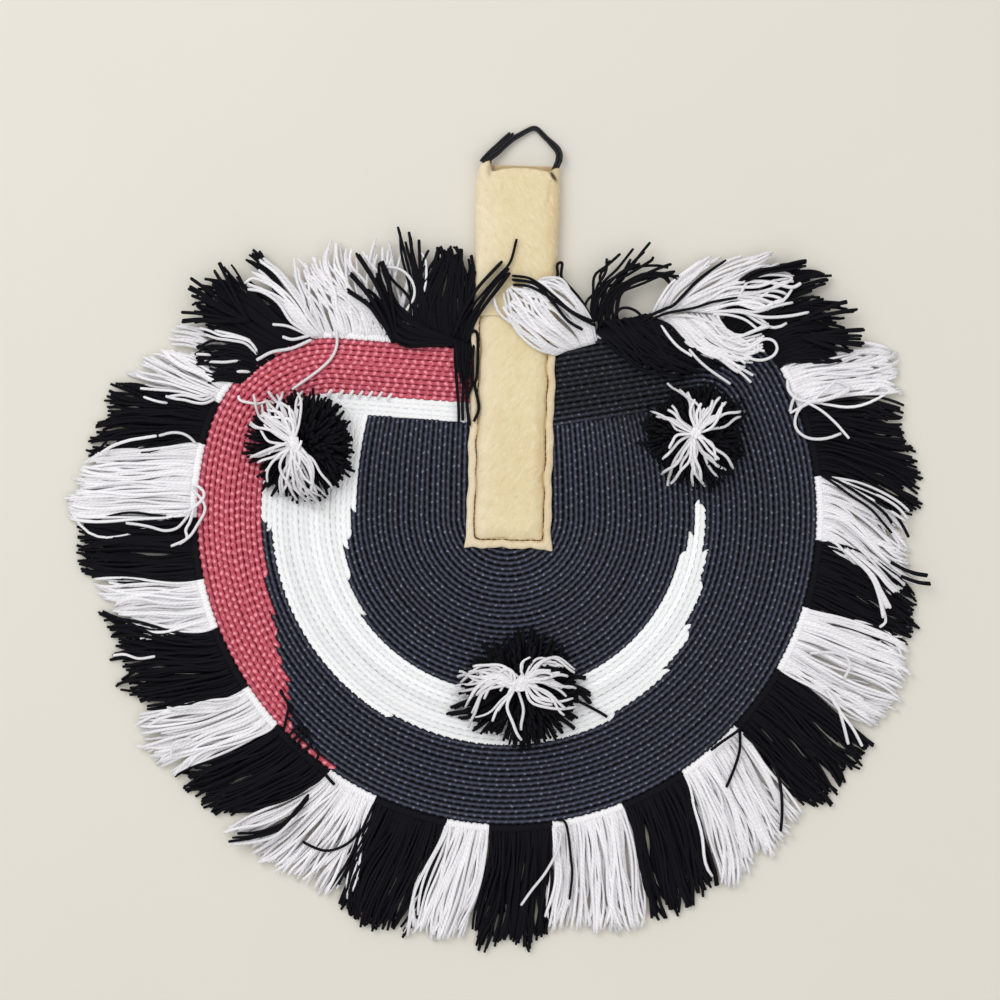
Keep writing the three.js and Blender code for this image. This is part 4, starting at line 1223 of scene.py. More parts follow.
# Stray strands, listed in the order in which they are laid: colour, and the stations of each strand on the layout,
# with heights.
STRAYS = [
    ("black", [
        [(452, 338, 6), (466, 316, 9.4), (482, 296, 11.6), (497, 279, 11.8), (510, 264, 11.6), (516.5, 240.5, 11.2)],
        [(425, 335, 6.5), (413, 306, 8.6), (406.5, 294.5, 8.4), (395, 283, 8.2), (386, 271.5, 7.6)],
    ]),
    ("white", [
        [(391, 331, 6.4), (412, 303, 8.8), (414.6, 289, 9), (409, 277, 8.4), (399, 269.5, 7.8), (386, 267.5, 7)],
        [(404, 332, 6.4), (424, 292, 8.6), (426, 263, 7.8), (419.4, 251.4, 6.8)],
        [(309, 336, 7), (306.6, 316.6, 9), (304.6, 300, 8.6), (297.4, 281, 7.6), (294.4, 258.5, 6.2)],
        [(312, 340, 7), (293, 348.5, 8.4), (273, 352.5, 8.8), (257.5, 360.5, 8.4)],
        [(308, 335, 7.4), (289, 327, 9), (273.5, 325, 8.6)],
        [(310, 336, 7.4), (294, 340, 9.2), (283.5, 337.5, 9)],
        [(306, 333, 7.4), (297, 319.7, 9.2), (287, 306, 9.2), (284.5, 294.5, 9), (271.5, 286, 8.8), (254.6, 279, 8),
         (245, 284, 7)],
        [(337, 330, 6.8), (337.5, 335, 7.8), (337, 347, 7.8), (331.5, 359, 7.8), (320, 370, 7.8), (306.5, 380, 8),
         (293, 390, 9.5)],
        [(239, 396, 7.4), (242, 401, 7.7), (258, 404, 7.8), (270, 402, 8.4), (282, 408, 12)],
    ]),
    ("black", [
        [(360, 831, 6.4), (350, 841, 8.2), (338, 847.5, 8.6), (326, 849.5, 8.6), (314, 846, 8.4), (303, 840.8, 7.4)],
    ]),
    ("white", [
        [(556, 829, 6.4), (560.5, 834, 7.6), (557, 850, 8.4), (545, 872, 8), (532, 889, 6.8), (521, 905, 5.6)],
    ]),
    ("black", [
        [(557, 819, 6.9), (564.5, 821, 7.7), (568, 833, 8.2), (570.5, 856, 8.4), (572, 874, 7.9), (569.5, 899, 6.2)],
        [(739.5, 729, 6.6), (739, 748, 8.4), (734, 766, 8.6), (726, 786.5, 7.2)],
        [(741, 727, 6.8), (734, 732, 9.2), (722, 740, 9.6), (710, 749.5, 8.6)],
        [(743, 733, 6.6), (756, 745, 8.4), (769, 758, 8.6), (777, 774, 8.6), (780.6, 793, 8.2), (781.4, 812, 7.4),
         (780.6, 831, 5.8)],
        [(512, 277, 11.4), (531, 281, 13.6), (551, 296, 14.6), (571, 313, 14.4), (593, 323, 12.5)],
        [(513, 286, 11.4), (531, 289, 14), (555, 303, 14.8), (575, 317, 14.4), (595, 327, 11.5)],
        [(512, 281, 11.4), (535, 286, 14), (553, 305, 14.8), (567, 322, 14.2), (582, 331, 12.2)],
        [(550, 283, 11.2), (554, 281.5, 11), (557.5, 276, 10.6), (557, 266, 9.6), (562, 264, 8.8), (561, 277, 8.8),
         (567, 285, 8.6), (580, 300, 8.6), (591, 318, 8)],
        [(601, 325, 8), (603, 308, 10), (606, 289, 10), (617, 276, 9.4), (631, 266.5, 8.4), (640, 255, 7.4),
         (650, 242.5, 6)],
        [(606, 325, 8), (609, 300, 9.8), (622, 287, 9.6), (640, 279, 9), (661, 277, 8), (671, 285.5, 6.6)],
        [(608, 324, 8), (612, 300, 9.6), (626, 287, 9.4), (645, 277, 9), (664, 274, 8), (677.5, 280, 6.8)],
        [(613, 326, 8), (617.5, 312, 10.6), (626, 309, 11), (636, 312.5, 10.6), (643, 320, 9.4)],
        [(636, 326, 9), (650, 316.5, 11), (664, 310, 10.6), (674, 305, 10), (693, 285, 8.4), (707, 273.5, 7.2),
         (726, 260.5, 5.6)],
        [(638, 328, 9), (653, 319.4, 11), (669, 313.7, 11), (693, 309, 10.8), (712, 303, 10.4), (736.5, 298.4, 9.8)],
    ]),
    ("white", [
        [(736, 301, 9.6), (748, 281, 9.8), (764, 276, 9.4), (781, 276, 8.8), (791, 279, 8.4), (779, 286.5, 8.8),
         (755, 294, 9.6), (736, 297.5, 10)],
        [(738, 352, 10), (748, 359, 10.8), (760, 361, 11), (771, 357, 11.2), (775.5, 349.5, 11.2), (772, 342, 11.2),
         (764, 340, 11.2), (757, 343.5, 11.2), (757, 350, 11.2), (763, 352, 11)],
        [(722, 360, 9.6), (738, 368, 10), (752, 376, 9.6)],
        [(724, 364, 9.6), (739, 373, 10), (750, 383, 9.4)],
        [(688, 350, 10.4), (697, 360.5, 10.9), (709, 371, 11.1), (729.5, 384.5, 9.8)],
        [(660, 326, 10.6), (669, 339, 11.4), (678, 348.5, 11.5), (691, 357, 11.2)],
    ]),
    ("black", [
        [(281, 689, 7.2), (285, 697, 7.6), (289, 705, 7.8), (287.5, 716, 7.9), (284, 730, 7)],
        [(289.5, 704, 7.5), (294, 714, 7.8), (301, 722, 7.9), (296, 728, 8), (288, 737, 7)],
        [(296, 718, 7.5), (302, 726, 8.1), (300, 733, 8.2), (292, 741, 7.4)],
        [(303, 727, 7.6), (305.5, 734, 8.1), (300, 741, 7.9), (296, 748, 6.6)],
        [(300, 724, 7.6), (309, 735, 8), (311, 744, 8), (303, 752, 6.8)],
        [(316, 747, 7.6), (319, 754, 8), (315, 762, 7.2)],
        [(321, 767, 6.8), (327, 775, 8), (335, 784, 7.8)],
    ]),
    ("white", [
        [(240, 697, 6.8), (222, 703, 8.2), (202, 702, 8.6), (184, 709, 8.4), (168, 707, 7.6)],
        [(192, 738, 7.6), (180, 740, 8.2), (173, 746, 8.2), (172, 759, 7.2)],
        [(156, 656, 7.4), (140, 658, 8.4), (126, 654, 8.2), (114, 655, 7.4)],
        [(809, 653, 7.4), (830, 652, 8.2), (845, 657, 8.4), (848.5, 666, 8.4), (843, 679, 7.4)],
        [(826, 690, 7), (836, 704, 7.8), (842, 722, 7.6), (848, 744, 6)],
        [(828, 694, 7), (840, 712, 8), (852, 728, 7.6), (862, 746, 5.6)],
        [(846, 548, 7), (858, 561, 8), (870, 575, 8.4), (878, 592, 8.4), (882, 608, 8.2), (884.5, 621, 7.6),
         (879, 627, 6.8)],
    ]),
    ("black", [
        [(466, 338, 8), (473, 332, 9.4), (477.5, 335, 9.6), (478, 355, 9.4), (477, 377, 9.2), (475, 386, 9.4),
         (479, 408, 9.6), (474, 422, 9.4)],
        [(455, 340, 6.5), (455.5, 360, 9), (457, 385, 9), (458.5, 404, 9), (459, 423, 8.6)],
        [(460, 340, 6.6), (461, 362, 9.2), (463.5, 385, 9.2), (462.5, 405, 9), (463, 421, 8.8)],
        [(466, 342, 7), (468, 365, 9.4), (466.5, 385, 9.4), (467.5, 405, 9.2), (469, 424, 9)],
        [(470, 342, 7), (472.5, 362, 9.6), (472, 385, 9.6), (467, 402, 9.4), (470, 426, 9.2)],
        [(592, 318, 8), (591, 307.5, 9.6), (592.7, 295, 9.4), (594.4, 276.5, 8.4), (607, 266, 7.4), (620.3, 254, 6)],
        [(594, 320, 8), (596, 299, 9.8), (603, 283.4, 9.2), (617, 269.6, 8.4), (633.2, 249, 6.2)],
        [(598, 322, 8), (603, 304, 9.8), (610, 290.3, 9.6), (620.3, 276.5, 9), (634, 262, 8), (644, 252, 6.8)],
        [(600, 322, 8), (611.7, 287, 10.2), (629, 274.8, 9.8), (646, 264.4, 8.8), (651, 261, 8), (653, 257.6, 7)],
        [(612, 326, 8), (616.8, 309, 10), (620.3, 295.4, 10), (634, 281.7, 9.8), (653, 271.3, 9), (671, 264.4, 7)],
        [(596, 322, 8), (598, 300, 9.2), (604, 286, 9), (618, 276, 8.8), (636, 268, 8.2), (656, 266, 7),
         (668, 268, 6.4)],
        [(608, 322, 8), (607, 306, 9.6), (612, 293, 9.4), (626, 283, 9.2), (644, 274.5, 8.8), (662, 274.5, 8),
         (670, 283, 6.8)],
        [(586, 320, 8), (585, 306, 8.4), (592, 296, 8.6), (606, 288, 8.6), (622, 282, 8.4)],
    ]),
    ("white", [
        [(716, 315, 9.6), (721, 326, 10), (730, 334, 10.4), (742, 336, 10.6), (756, 331, 10.4), (769, 327, 9.8)],
        [(712, 315, 9.8), (728, 316, 10.4), (744, 321, 10.8), (757, 331, 10.8)],
        [(664, 316, 7.4), (690, 317, 9.4), (718, 327, 10.6), (744, 343, 11), (757, 353, 10.6)],
        [(684, 314, 8), (706, 326, 10.4), (722, 343, 11), (738, 352, 11.2), (752, 349, 10.8)],
        [(716, 312, 9), (738, 313, 10), (762, 318, 10), (786, 317, 9.2), (808, 313, 8)],
        [(690, 302, 8), (716, 290, 9), (742, 283, 9.4), (768, 283, 9), (790, 288, 8.4), (800, 284, 8)],
        [(676, 306, 6.6), (694, 288, 7.6), (716, 272, 7.2), (744, 260, 6.2), (772, 254, 5)],
        [(670, 308, 6.4), (684, 292, 7), (706, 276, 6.6), (726, 262, 5.6), (742, 256, 4.6)],
        [(263, 364, 5), (240, 347, 4.6), (216, 333, 4.2), (193, 327, 3.6), (180, 325, 2.8)],
        [(259.6, 365.96, 5), (238.04, 347.24, 4.6), (214.74, 337.52, 4.2), (194.16, 329.52, 3.6),
         (174.74, 325.66, 2.8)],
        [(260.5, 368.2, 5), (235.8, 352.3, 4.6), (213.3, 337.9, 4.2), (190.7, 332.4, 3.6), (178.3, 331.2, 2.8)],
        [(255.8, 369.88, 5), (234.12, 350.72, 4.6), (212.22, 343.56, 4.2), (193.48, 334.56, 3.6),
         (170.22, 329.98, 2.8)],
        [(256.7, 372.12, 5), (231.88, 355.78, 4.6), (210.78, 343.94, 4.2), (190.02, 337.44, 3.6),
         (173.78, 335.52, 2.8)],
        [(257, 373.8, 5), (230.2, 359.2, 4.6), (209.7, 344.6, 4.2), (187.8, 339.6, 3.6), (175.7, 339.3, 2.8)],
        [(252.1, 375.76, 5), (228.24, 357.94, 4.6), (208.44, 350.62, 4.2), (190.46, 342.12, 3.6),
         (167.44, 338.46, 2.8)],
        [(253, 378, 5), (226, 363, 4.6), (207, 351, 4.2), (187, 345, 3.6), (171, 344, 2.8)],
        [(262, 357, 5), (257, 350, 7.6), (250, 342, 8.8), (236, 338, 9), (222, 336, 8.6), (210, 331, 7.6),
         (200, 328, 6.6)],
        [(260, 359, 5), (255, 352, 7.6), (246, 344, 8.8), (232, 341, 9), (218, 339, 8.6), (206, 335, 7.6)],
        [(254, 344, 5.6), (248, 340, 8.4), (234, 335.5, 9), (220, 332, 7.6), (212, 330, 5)],
        [(246, 359, 4.6), (240, 360.5, 7.6), (226, 362.5, 8.4), (212, 362, 7.4), (203, 361.2, 4.6)],
        [(252, 372.5, 5), (247, 372, 7.6), (240, 372, 8.2), (233, 373.4, 5.4)],
        [(212, 355.3, 5), (208, 355, 7.4), (201, 354.5, 7.2), (196, 354, 5)],
    ]),
    ("black", [
        [(424, 336, 6.4), (416, 306, 7.8), (412, 282, 7.6), (405, 254, 6.8), (398, 227, 5.6)],
        [(427, 336, 6.4), (419, 306, 7.8), (416, 282, 7.6), (413, 256, 6.8), (409, 232, 5.6)],
        [(424, 336, 6.6), (414, 310, 7.6), (409, 284, 7.2), (402, 256, 6.4), (400, 232, 5.4)],
        [(430, 336, 6.4), (424, 306, 7.8), (421, 282, 7.6), (420, 262, 6.8), (419, 240, 5.8)],
    ]),
    ("white", [
        [(216, 399, 7), (206, 403.5, 8.2), (196, 403, 8.4), (186, 400.4, 8.2), (176, 399, 8), (166.5, 396.3, 7.4)],
        [(214, 396, 7), (204, 400, 8.4), (192, 397, 8.4), (183, 395.5, 8.2), (175, 396, 8), (168, 397.5, 7.6)],
        [(210, 395, 7), (200, 396.5, 8.4), (186, 393, 8.2), (172, 391, 8), (158, 390, 7.6), (141, 388.6, 7)],
        [(168, 403, 5.4), (163, 402.5, 7.6), (156, 401, 8.2), (148, 398.4, 7), (144, 397, 5)],
        [(196, 443, 7), (190, 437, 8.2), (182, 433.5, 8.4), (172, 433, 8.4), (160, 436, 8.2)],
        [(158, 436, 8.2), (145, 438, 8.3), (130, 440.5, 8.2), (114, 446, 7.8), (102, 453, 7)],
        [(193, 485, 7), (199, 486.5, 7.8), (204, 491, 7.9), (204.5, 497, 8), (200, 503, 8.6), (193, 509, 8.8),
         (185, 513, 8.6)],
        [(192, 488, 7), (198, 494, 8), (203, 500, 8), (206, 507, 8), (204.5, 514, 8), (199, 524, 8.6), (192, 535, 8.8),
         (184, 541, 8.4), (172, 546, 8)],
        [(196, 501, 8), (194, 512, 8.6), (191, 522, 8.8), (187, 530, 8.8), (188, 538, 8.6), (180, 544, 8)],
        [(192, 511, 8), (186, 520, 8.8), (178, 528, 8.8), (166, 530.5, 8.6), (152, 527, 8.4), (140, 524.5, 8.2),
         (127, 523, 7.8)],
        [(836, 380, 8), (823, 391, 8.8), (810, 402, 9), (799, 408, 8.6), (789, 413.5, 7.9)],
        [(797, 393, 7.7), (792, 401, 7.9), (789, 412, 7.9)],
        [(832, 381, 8), (844, 385, 8.6), (848, 390, 8.6), (838, 396, 8.6), (822, 401, 9), (806, 403.5, 9),
         (797.5, 411, 8.6), (794, 421, 8), (796, 430, 8.2), (804, 437, 8.6), (815, 439.5, 8.8), (828, 438, 8.8),
         (840, 433.6, 8.4)],
        [(804, 402, 9.4), (820, 411, 9.4), (834, 423, 9), (843, 433, 8.6), (848, 438.5, 8.2)],
        [(787, 380, 7.4), (787.5, 389, 7.8), (793, 397, 7.9), (803, 401.5, 8.4), (818, 400.5, 8.8), (836, 395.5, 8.6),
         (850, 387, 8)],
        [(822, 477, 7.4), (840, 479, 8.6), (858, 483, 8.8), (878, 491, 8.6), (896, 501, 8.2), (908, 511, 7.4)],
        [(824, 479, 7.4), (842, 482, 8.6), (862, 489, 8.8), (880, 497, 8.6), (896, 507, 8.2), (907, 519, 7.4)],
        [(824, 480, 7.4), (842, 485, 8.6), (864, 496, 8.8), (884, 507, 8.6), (904, 521, 7.6)],
    ]),
    ("black", [
        [(820, 475, 7.6), (832, 483, 9), (850, 496, 9.4), (868, 508, 9.4), (880, 521, 9), (891, 533, 7)],
        [(823, 475, 7.6), (838, 482, 9), (856, 493, 9.4), (873, 504.5, 9.2), (884, 514, 8.8), (891, 523, 7.4)],
        [(838, 480, 7.6), (856, 485, 9.2), (872, 492, 9), (886, 500, 7)],
        [(866, 496, 7.4), (874, 501, 8.8), (886, 508, 8.8), (899, 514, 7)],
        [(896, 516, 6.4), (900, 523, 8.2), (904, 530, 8), (908, 537, 6.6)],
        [(309, 794, 6.6), (297.5, 808, 9.4), (284, 822, 9), (258, 831, 8.6), (238, 832.5, 7.4)],
        [(309.6, 795, 6.6), (298, 810, 9.4), (283, 825, 9), (257, 834, 8.6), (233, 837, 7.4)],
        [(309, 797, 6.6), (297, 812, 9.2), (281, 828, 9), (254, 836.5, 8.4), (229, 841, 6.8)],
    ]),
    ("white", [
        [(306, 797, 6), (297, 804.5, 8.6), (282, 814.5, 9.6), (261.5, 823, 9.4), (240, 826.5, 8.6), (224, 832, 6.6)],
        [(304, 802, 6), (295, 816, 9.2), (286, 826.5, 9.8), (274, 835.5, 9.4), (256, 840.5, 8.8), (231, 844, 7)],
    ]),
]

# How a frayed strand gets from its root to its tip: at each station, the shares of the way across and down, a nudge
# across and down, and the height.
HIGH_BENDS = [(0, 0, 0, 0, 8.6), (0.4, 0.34, 1, 0, 10.6), (0.72, 0.7, 0, -1, 10), (1, 1, 0, 0, 7.8)]
LEVEL_BENDS = [(0, 0, 0, 0, 8.4), (0.4, 0.5, 0, 0, 10.4), (0.75, 0.85, 0, 0, 9.6), (1, 1, 0, 0, 7.8)]


def reaching(root, tip, bends):
    """Stations on the layout from a root to a tip."""
    return [
        (root[0] + (tip[0] - root[0]) * across + aside, root[1] + (tip[1] - root[1]) * down + below, height)
        for across, down, aside, below, height in bends
    ]


# Strands that have come loose in groups. Each group has its seed, the shares of their drift that its strands have at
# the root, how much they fan out, and its lines: colour, strands, how far they drift and the stations.
FRAYED = [
    (5, (1.0, 0.4), 1.0, [
        ("black", 4, (2.6, 2.6, 2.5), line)
        for line in (
            [(505, 696, 14), (484, 704, 12), (465, 709.5, 9.5), (450, 712, 8)],
            [(505, 700, 14), (486, 711, 12), (470, 717, 9.5), (461, 719, 8)],
            [(507, 702, 14), (489, 717, 12), (478, 726, 9.5), (472, 729, 8)],
            [(503, 692, 15), (481, 697, 12.5), (466, 702, 10), (453, 708, 8)],
            [(552, 676, 14), (567, 678, 11.5), (575, 677.5, 9), (583, 678.5, 8)],
            [(553, 682, 14), (570, 688, 11.5), (580, 693, 9), (589, 702, 8)],
            [(552, 680, 14), (570, 684, 12), (580, 688, 9.5), (587, 693, 8)],
            [(552, 698, 12), (563, 709, 10.4), (570, 716, 9), (576, 720, 8)],
            [(550, 704, 12), (560, 716, 10.4), (567, 723, 9), (572, 727, 8)],
        )
    ]),
    (8, (0.4, 0.4), 0.5, [
        ("black", 3, (1.8, 1.8, 1.8), [(394, 343, 9), (385, 325, 11.4), (371, 306, 11.4), (350, 290.5, 8)]),
        ("black", 3, (1.8, 1.8, 1.8), [(394, 341, 9), (384, 318, 12), (369, 294, 11.8), (352, 274, 8)]),
        ("black", 4, (2.0, 2.0, 2.0), [(395, 338, 9), (388, 312, 12.4), (375, 283, 12), (358, 256, 8.4)]),
        ("black", 2, (1.6, 1.6, 1.6), [(397, 336, 9), (393, 310, 12.8), (389, 285, 12.2), (382, 263, 9)]),
        *(
            ("black", 2, (1.3, 1.3, 1.3), reaching((250, 322), tip, HIGH_BENDS))
            for tip in (
                (192.8, 279.5), (190, 288), (193.7, 295.7), (183.2, 313.5), (183.2, 322), (220.5, 263), (214.8, 271),
            )
        ),
    ]),
    (9, (0.4, 0.5), 0.5, [
        ("black", count, (2.0, 2.2, 2.0), reaching((800, root), tip, LEVEL_BENDS))
        for count, root, tip in (
            (4, 337, (862, 331)), (4, 337, (859, 338)), (4, 337, (861, 345.5)),
            (3, 337, (852, 351.5)), (3, 322, (854, 311)), (2, 322, (847, 303.5)),
        )
    ]),
    (12, (0.4, 0.4), 0.5, [
        ("white", 5, (2.0, 2.0, 2.0), [(843, 549, 9), (868, 572, 11.2), (878, 590, 11), (887.5, 606, 9)]),
        ("white", 4, (2.2, 2.2, 2.2), [(850, 550, 9), (874, 570, 11.2), (886, 583, 10.6), (895, 591, 9)]),
        ("white", 2, (1.2, 1.2, 1.2), [(843, 549, 9), (867, 573, 11.4), (877, 594, 11.2), (883, 617, 9)]),
        ("black", 3, (1.0, 1.0, 1.0), [(890, 562, 7), (903, 569, 8), (914, 573, 8), (927, 575.5, 7)]),
        ("black", 2, (0.9, 0.9, 0.9), [(900, 576, 7), (910, 580, 7.8), (919, 582.5, 7.8), (929, 583.5, 7)]),
    ]),
]

# A long black strand of the lower pompom, and where the white stitches beside the loose thread on the red rows are.
POMPOM_STRAND = [
    (560, 688, 14), (569, 694.5, 12.4), (578, 700, 10), (589, 706, 8.4), (599, 711.5, 7.9), (607, 716.4, 7.6),
]
RED_ROW_STITCHES = [
    (328, 394.6), (339.4, 395.0), (349.5, 395.3), (359, 395.8), (368.6, 396.2), (378.2, 396.8), (387.6, 398.4),
]


# Points along a stray strand.
STRAY_POINTS = 32


def frayed(rng, line, count, drift, held, fan):
    """Copies of a line's stations that drift right, down and outwards towards their tips, at uneven heights."""
    copies = []
    for _ in range(count):
        right, down, fanned = (rng.uniform(-limit, limit) for limit in drift)
        copy = []
        for step, (x, y, height) in enumerate(line):
            share = step / (len(line) - 1)
            x = x + right * (held[0] + (1 - held[0]) * share) + fanned * fan * share
            y = y + down * (held[1] + (1 - held[1]) * share)
            copy.append((round(x, 1), round(y, 1), round(height + rng.uniform(-0.3, 0.3), 1)))
        copies.append(copy)
    return copies


def stray_strands():
    """The colour and the stations of every stray strand."""
    for colour, strands in STRAYS:
        for stations in strands:
            yield colour, stations
    for seed, held, fan, lines in FRAYED:
        rng = random.Random(seed)
        for colour, count, drift, line in lines:
            for stations in frayed(rng, line, count, drift, held, fan):
                yield colour, stations
    yield "black", POMPOM_STRAND
    for x, y in RED_ROW_STITCHES:
        yield "white", [(x - 0.6, y + 2.6, 6.9), (x + 1.6, y - 1, 7.7), (x + 4.2, y - 4.6, 7)]


# ---------------------------------------------------------------------------------------------
# Pompoms

# Each pompom: the angle and inset of its place, its radius, the tuft's place counted from its own, how far its top and
# its foot lean across and up, how the tuft's strands arch, the direction of the tuft's knot and how wide the strands
# spread there, and where they end, counted from the tuft's place.
POMPOMS = {
    "left": (
        LEFT_POMPOM_ANGLE, LEFT_POMPOM_INSET, 25.6, (-3.8, 0.0), (8.0, 3.5, -3.5, -2.0), 0.06, 1.9, 0.85,
        [(-22, 25), (-18, 20), (-15, 27), (-11, 25), (-6, 27), (-1, 26), (3, 27), (-13, 20), (-9, 16), (-24, 10),
         (-17, 7), (-24, -6), (-19, -9), (-15, 23), (-18, 14), (-7, 22), (-12, -20), (-9, -26), (-6, -25), (-3, -23),
         (0, -28), (3, -24), (6, -30), (9, -27), (11, -31), (14, -33), (8, -22), (5, -18), (-7, 13), (-12, 15),
         (12, -24), (16, -29), (2, -20), (-1, -16), (7, -33), (-15, -13), (4, -26), (-4, 19)],
    ),
    "right": (
        23.05, 52.3, 24.0, (-2.0, 0.6), (0.0, 0.0, 0.0, 0.0), 0.0, 0.9, 0.5,
        [(-12.6, 25.6), (-10.5, 14), (-6.5, 22), (-3, 20), (-20.7, 11.8), (-18.7, 9.8), (-12.8, 11.8), (-1, 16.5),
         (2.8, 14.8), (8, 12), (13, 18), (14.8, 16.5), (14, 10), (24, 8.6), (9, 6), (12.5, -17), (16.5, -18.5),
         (21, -17), (12, -22.5), (5.3, -23.4), (-1, -21.2), (0, -26.5), (5, -27), (-12.8, -26.5), (-16, -20.5),
         (-14.6, -14), (-10.5, -15.5), (-7, -19)],
    ),
    "lower": (
        274.9, 67.2, 28.0, (-1.0, 4.2), (0.0, 1.5, 0.0, 0.0), 0.17, 0.3, 1.0,
        [(-32, 2.3), (-34.5, -8.5), (-30, -2), (-28, -12), (-23, -16.6), (-25, -14), (-14.8, -18.3), (-22.3, -27),
         (-0.6, -28.5), (21, 10), (18, 11), (27, 6.6), (27.8, -4.5), (26, -9.2), (24, -11), (27, -16), (10.3, -9.2),
         (4.3, 13.5), (2.5, 11), (-11.5, 7.5), (-31, 5), (-30, 0), (-20, 1), (-26, 4), (-22, -6), (-18, -8), (-27, -9),
         (-24, 7), (-33, -4.5), (15, 7), (17, 2), (21, -2), (24, 3), (20, 5), (23, -7), (27, -1), (13, 9), (-16, 5)],
    ),
}


# Points along the strands of a pompom and of its tuft.
POMPOM_POINTS = 10
TUFT_POINTS = 16
# The heights between which a pompom's strands keep, and the tuft's.
POMPOM_HEIGHTS = (7.8, 24.5)
TUFT_HEIGHTS = (8.0, 25.6)
# The strands of a tuft that end short of a listed end, and those that lie across its knot.
TUFT_EXTRA = 18
TUFT_KNOT = 14


def dome(reach, radius):
    """Height of a pompom's top above the plate at a distance from its middle."""
    return 8.2 + 14.0 * np.sqrt(np.clip(1 - (reach / (radius * 1.06)) ** 2, 0.0, 1.0))


def pompom_paths(rng, place, radius, lean, count):
    """Black strands that leave the tie in all directions and stop on a low dome."""
    turn = rng.random(count) * 2 * math.pi
    tufts = 0.055 * np.sin(turn * 3 + rng.random() * FULL_TURN) + 0.05 * np.sin(turn * 8 + rng.random() * FULL_TURN)
    turn = turn + 0.035 * np.sin(turn * 22)
    rise = rng.random(count) ** 1.1
    reach = radius * (1 + tufts) * np.cos(rise * math.pi / 2) ** 0.6 * rng.normal(1.0, 0.06, count)
    reach = np.where(rng.random(count) < 0.06, reach * 1.1, reach)
    end_height = 7.8 + 13.6 * np.sin(rise * math.pi / 2) * rng.normal(1.0, 0.05, count)
    bend = rng.normal(0, 0.12, count)
    t = np.linspace(0, 1, POMPOM_POINTS)[None]
    out = reach[:, None] * (0.25 * t + 0.75 * t**1.1)
    angle = turn[:, None] + bend[:, None] * t**1.5
    middle = 8.5 + 9.5 * np.sqrt(t) * (0.35 + 0.65 * rise[:, None])
    height = middle * (1 - t**2) + end_height[:, None] * t**2
    side = rng.normal(0, 1.0, (count, 2))
    top, foot = rise[:, None] * t, (1 - rise[:, None]) * t
    x = place[0] + side[:, :1] * (1 - t) + out * np.cos(angle) + lean[0] * top + lean[2] * foot
    y = place[1] + side[:, 1:] * (1 - t) + out * np.sin(angle) + lean[1] * top + lean[3] * foot
    return np.stack([x, y, np.clip(height, *POMPOM_HEIGHTS)], -1)


def tuft_paths(rng, place, radius, offset, arch, knot, gathered, ends):
    """White strands from the tuft's knot over the dome to their own ends, each with its own bend."""
    ends = np.asarray(ends, float) * 0.98
    extra = ends[rng.integers(0, len(ends), TUFT_EXTRA)] * rng.uniform(0.6, 1.0, (TUFT_EXTRA, 1))
    ends = np.concatenate([ends, extra + rng.normal(0, 1.8, (TUFT_EXTRA, 2))])
    count = len(ends)
    t = np.linspace(0, 1, TUFT_POINTS)[None, :, None]
    across = quarter_turned(ends)
    bend = rng.normal(0, 0.13, (count, 1, 1)) * np.sin(t * math.pi * rng.uniform(0.8, 1.2, (count, 1, 1)))
    wave = 0.035 * waves(rng, t, 6, 12, (count, 1, 1))
    flat = ends[:, None] * t + across[:, None] * (bend + wave * t)
    flat[..., 1] += arch * np.abs(ends[:, :1]) * np.sin(t[..., 0] * math.pi)
    along = np.array([math.cos(knot), math.sin(knot)])
    side = (np.clip(ends @ along / 8, -1, 1) * 2.6)[:, None] * along + rng.normal(0, 1.2, (count, 2))
    side = side * gathered
    flat = flat + np.asarray(offset) + side[:, None] * (1 - t) ** 2
    reach = np.linalg.norm(flat, axis=-1)
    height = dome(reach, radius) + 0.4 + rng.random((count, 1)) * 3.2
    start = dome(np.linalg.norm(offset), radius) + 1.0
    blend = np.clip(t[..., 0] * 5, 0, 1)
    height = start * (1 - blend) + height * blend
    paths = np.concatenate([flat + place, np.clip(height, *TUFT_HEIGHTS)[..., None]], -1)

    each = (TUFT_KNOT, 1)
    turn = knot + rng.normal(0, 0.3, each)
    reach = np.linspace(-1, 1, TUFT_POINTS)[None] * rng.uniform(3.6, 5.6, each) * gathered
    drift = rng.normal(0, 1.6, each) * (1 - 0.5 * (reach / 5.6) ** 2) * gathered
    x = offset[0] + reach * np.cos(turn) - drift * np.sin(turn)
    y = offset[1] + reach * np.sin(turn) + drift * np.cos(turn)
    tall = np.clip(start + 1.9 - 0.09 * reach**2 + rng.random(each) * 0.6, *TUFT_HEIGHTS)
    return np.concatenate([paths, np.stack([x + place[0], y + place[1], tall], -1)])


def tie_paths(rng, place):
    """The parts of a pompom's tie in turn, each with its share of the yarn's width: the coil of the knot behind the
    plate, its two tails, and the stem that goes up through the plate into the pompom."""
    x, y = place
    turn = np.linspace(0, 4 * math.pi, 60)
    coil = np.stack([x + 1.5 * np.cos(turn), y + 1.9 * np.sin(turn), 1.9 + 0.35 * np.cos(turn / 2)], -1)
    yield coil[None], 1.0
    tails = []
    for side in (-1, 1):
        drift = rng.normal(0, 2, 2)
        stations = [
            (x, y, 2.1),
            (x + side * 3.0, y - 1.5, 1.7),
            (x + side * 7.0 + drift[0], y - 4.0, 1.2),
            (x + side * 10.0 + drift[1], y - 8.0, 1.0),
        ]
        tails.append(smooth_path(stations, 16))
    yield np.array(tails), 1.0
    yield np.stack([np.full(6, x), np.full(6, y), np.linspace(2.0, 11.0, 6)], -1)[None], 0.75


# ---------------------------------------------------------------------------------------------
# Leather


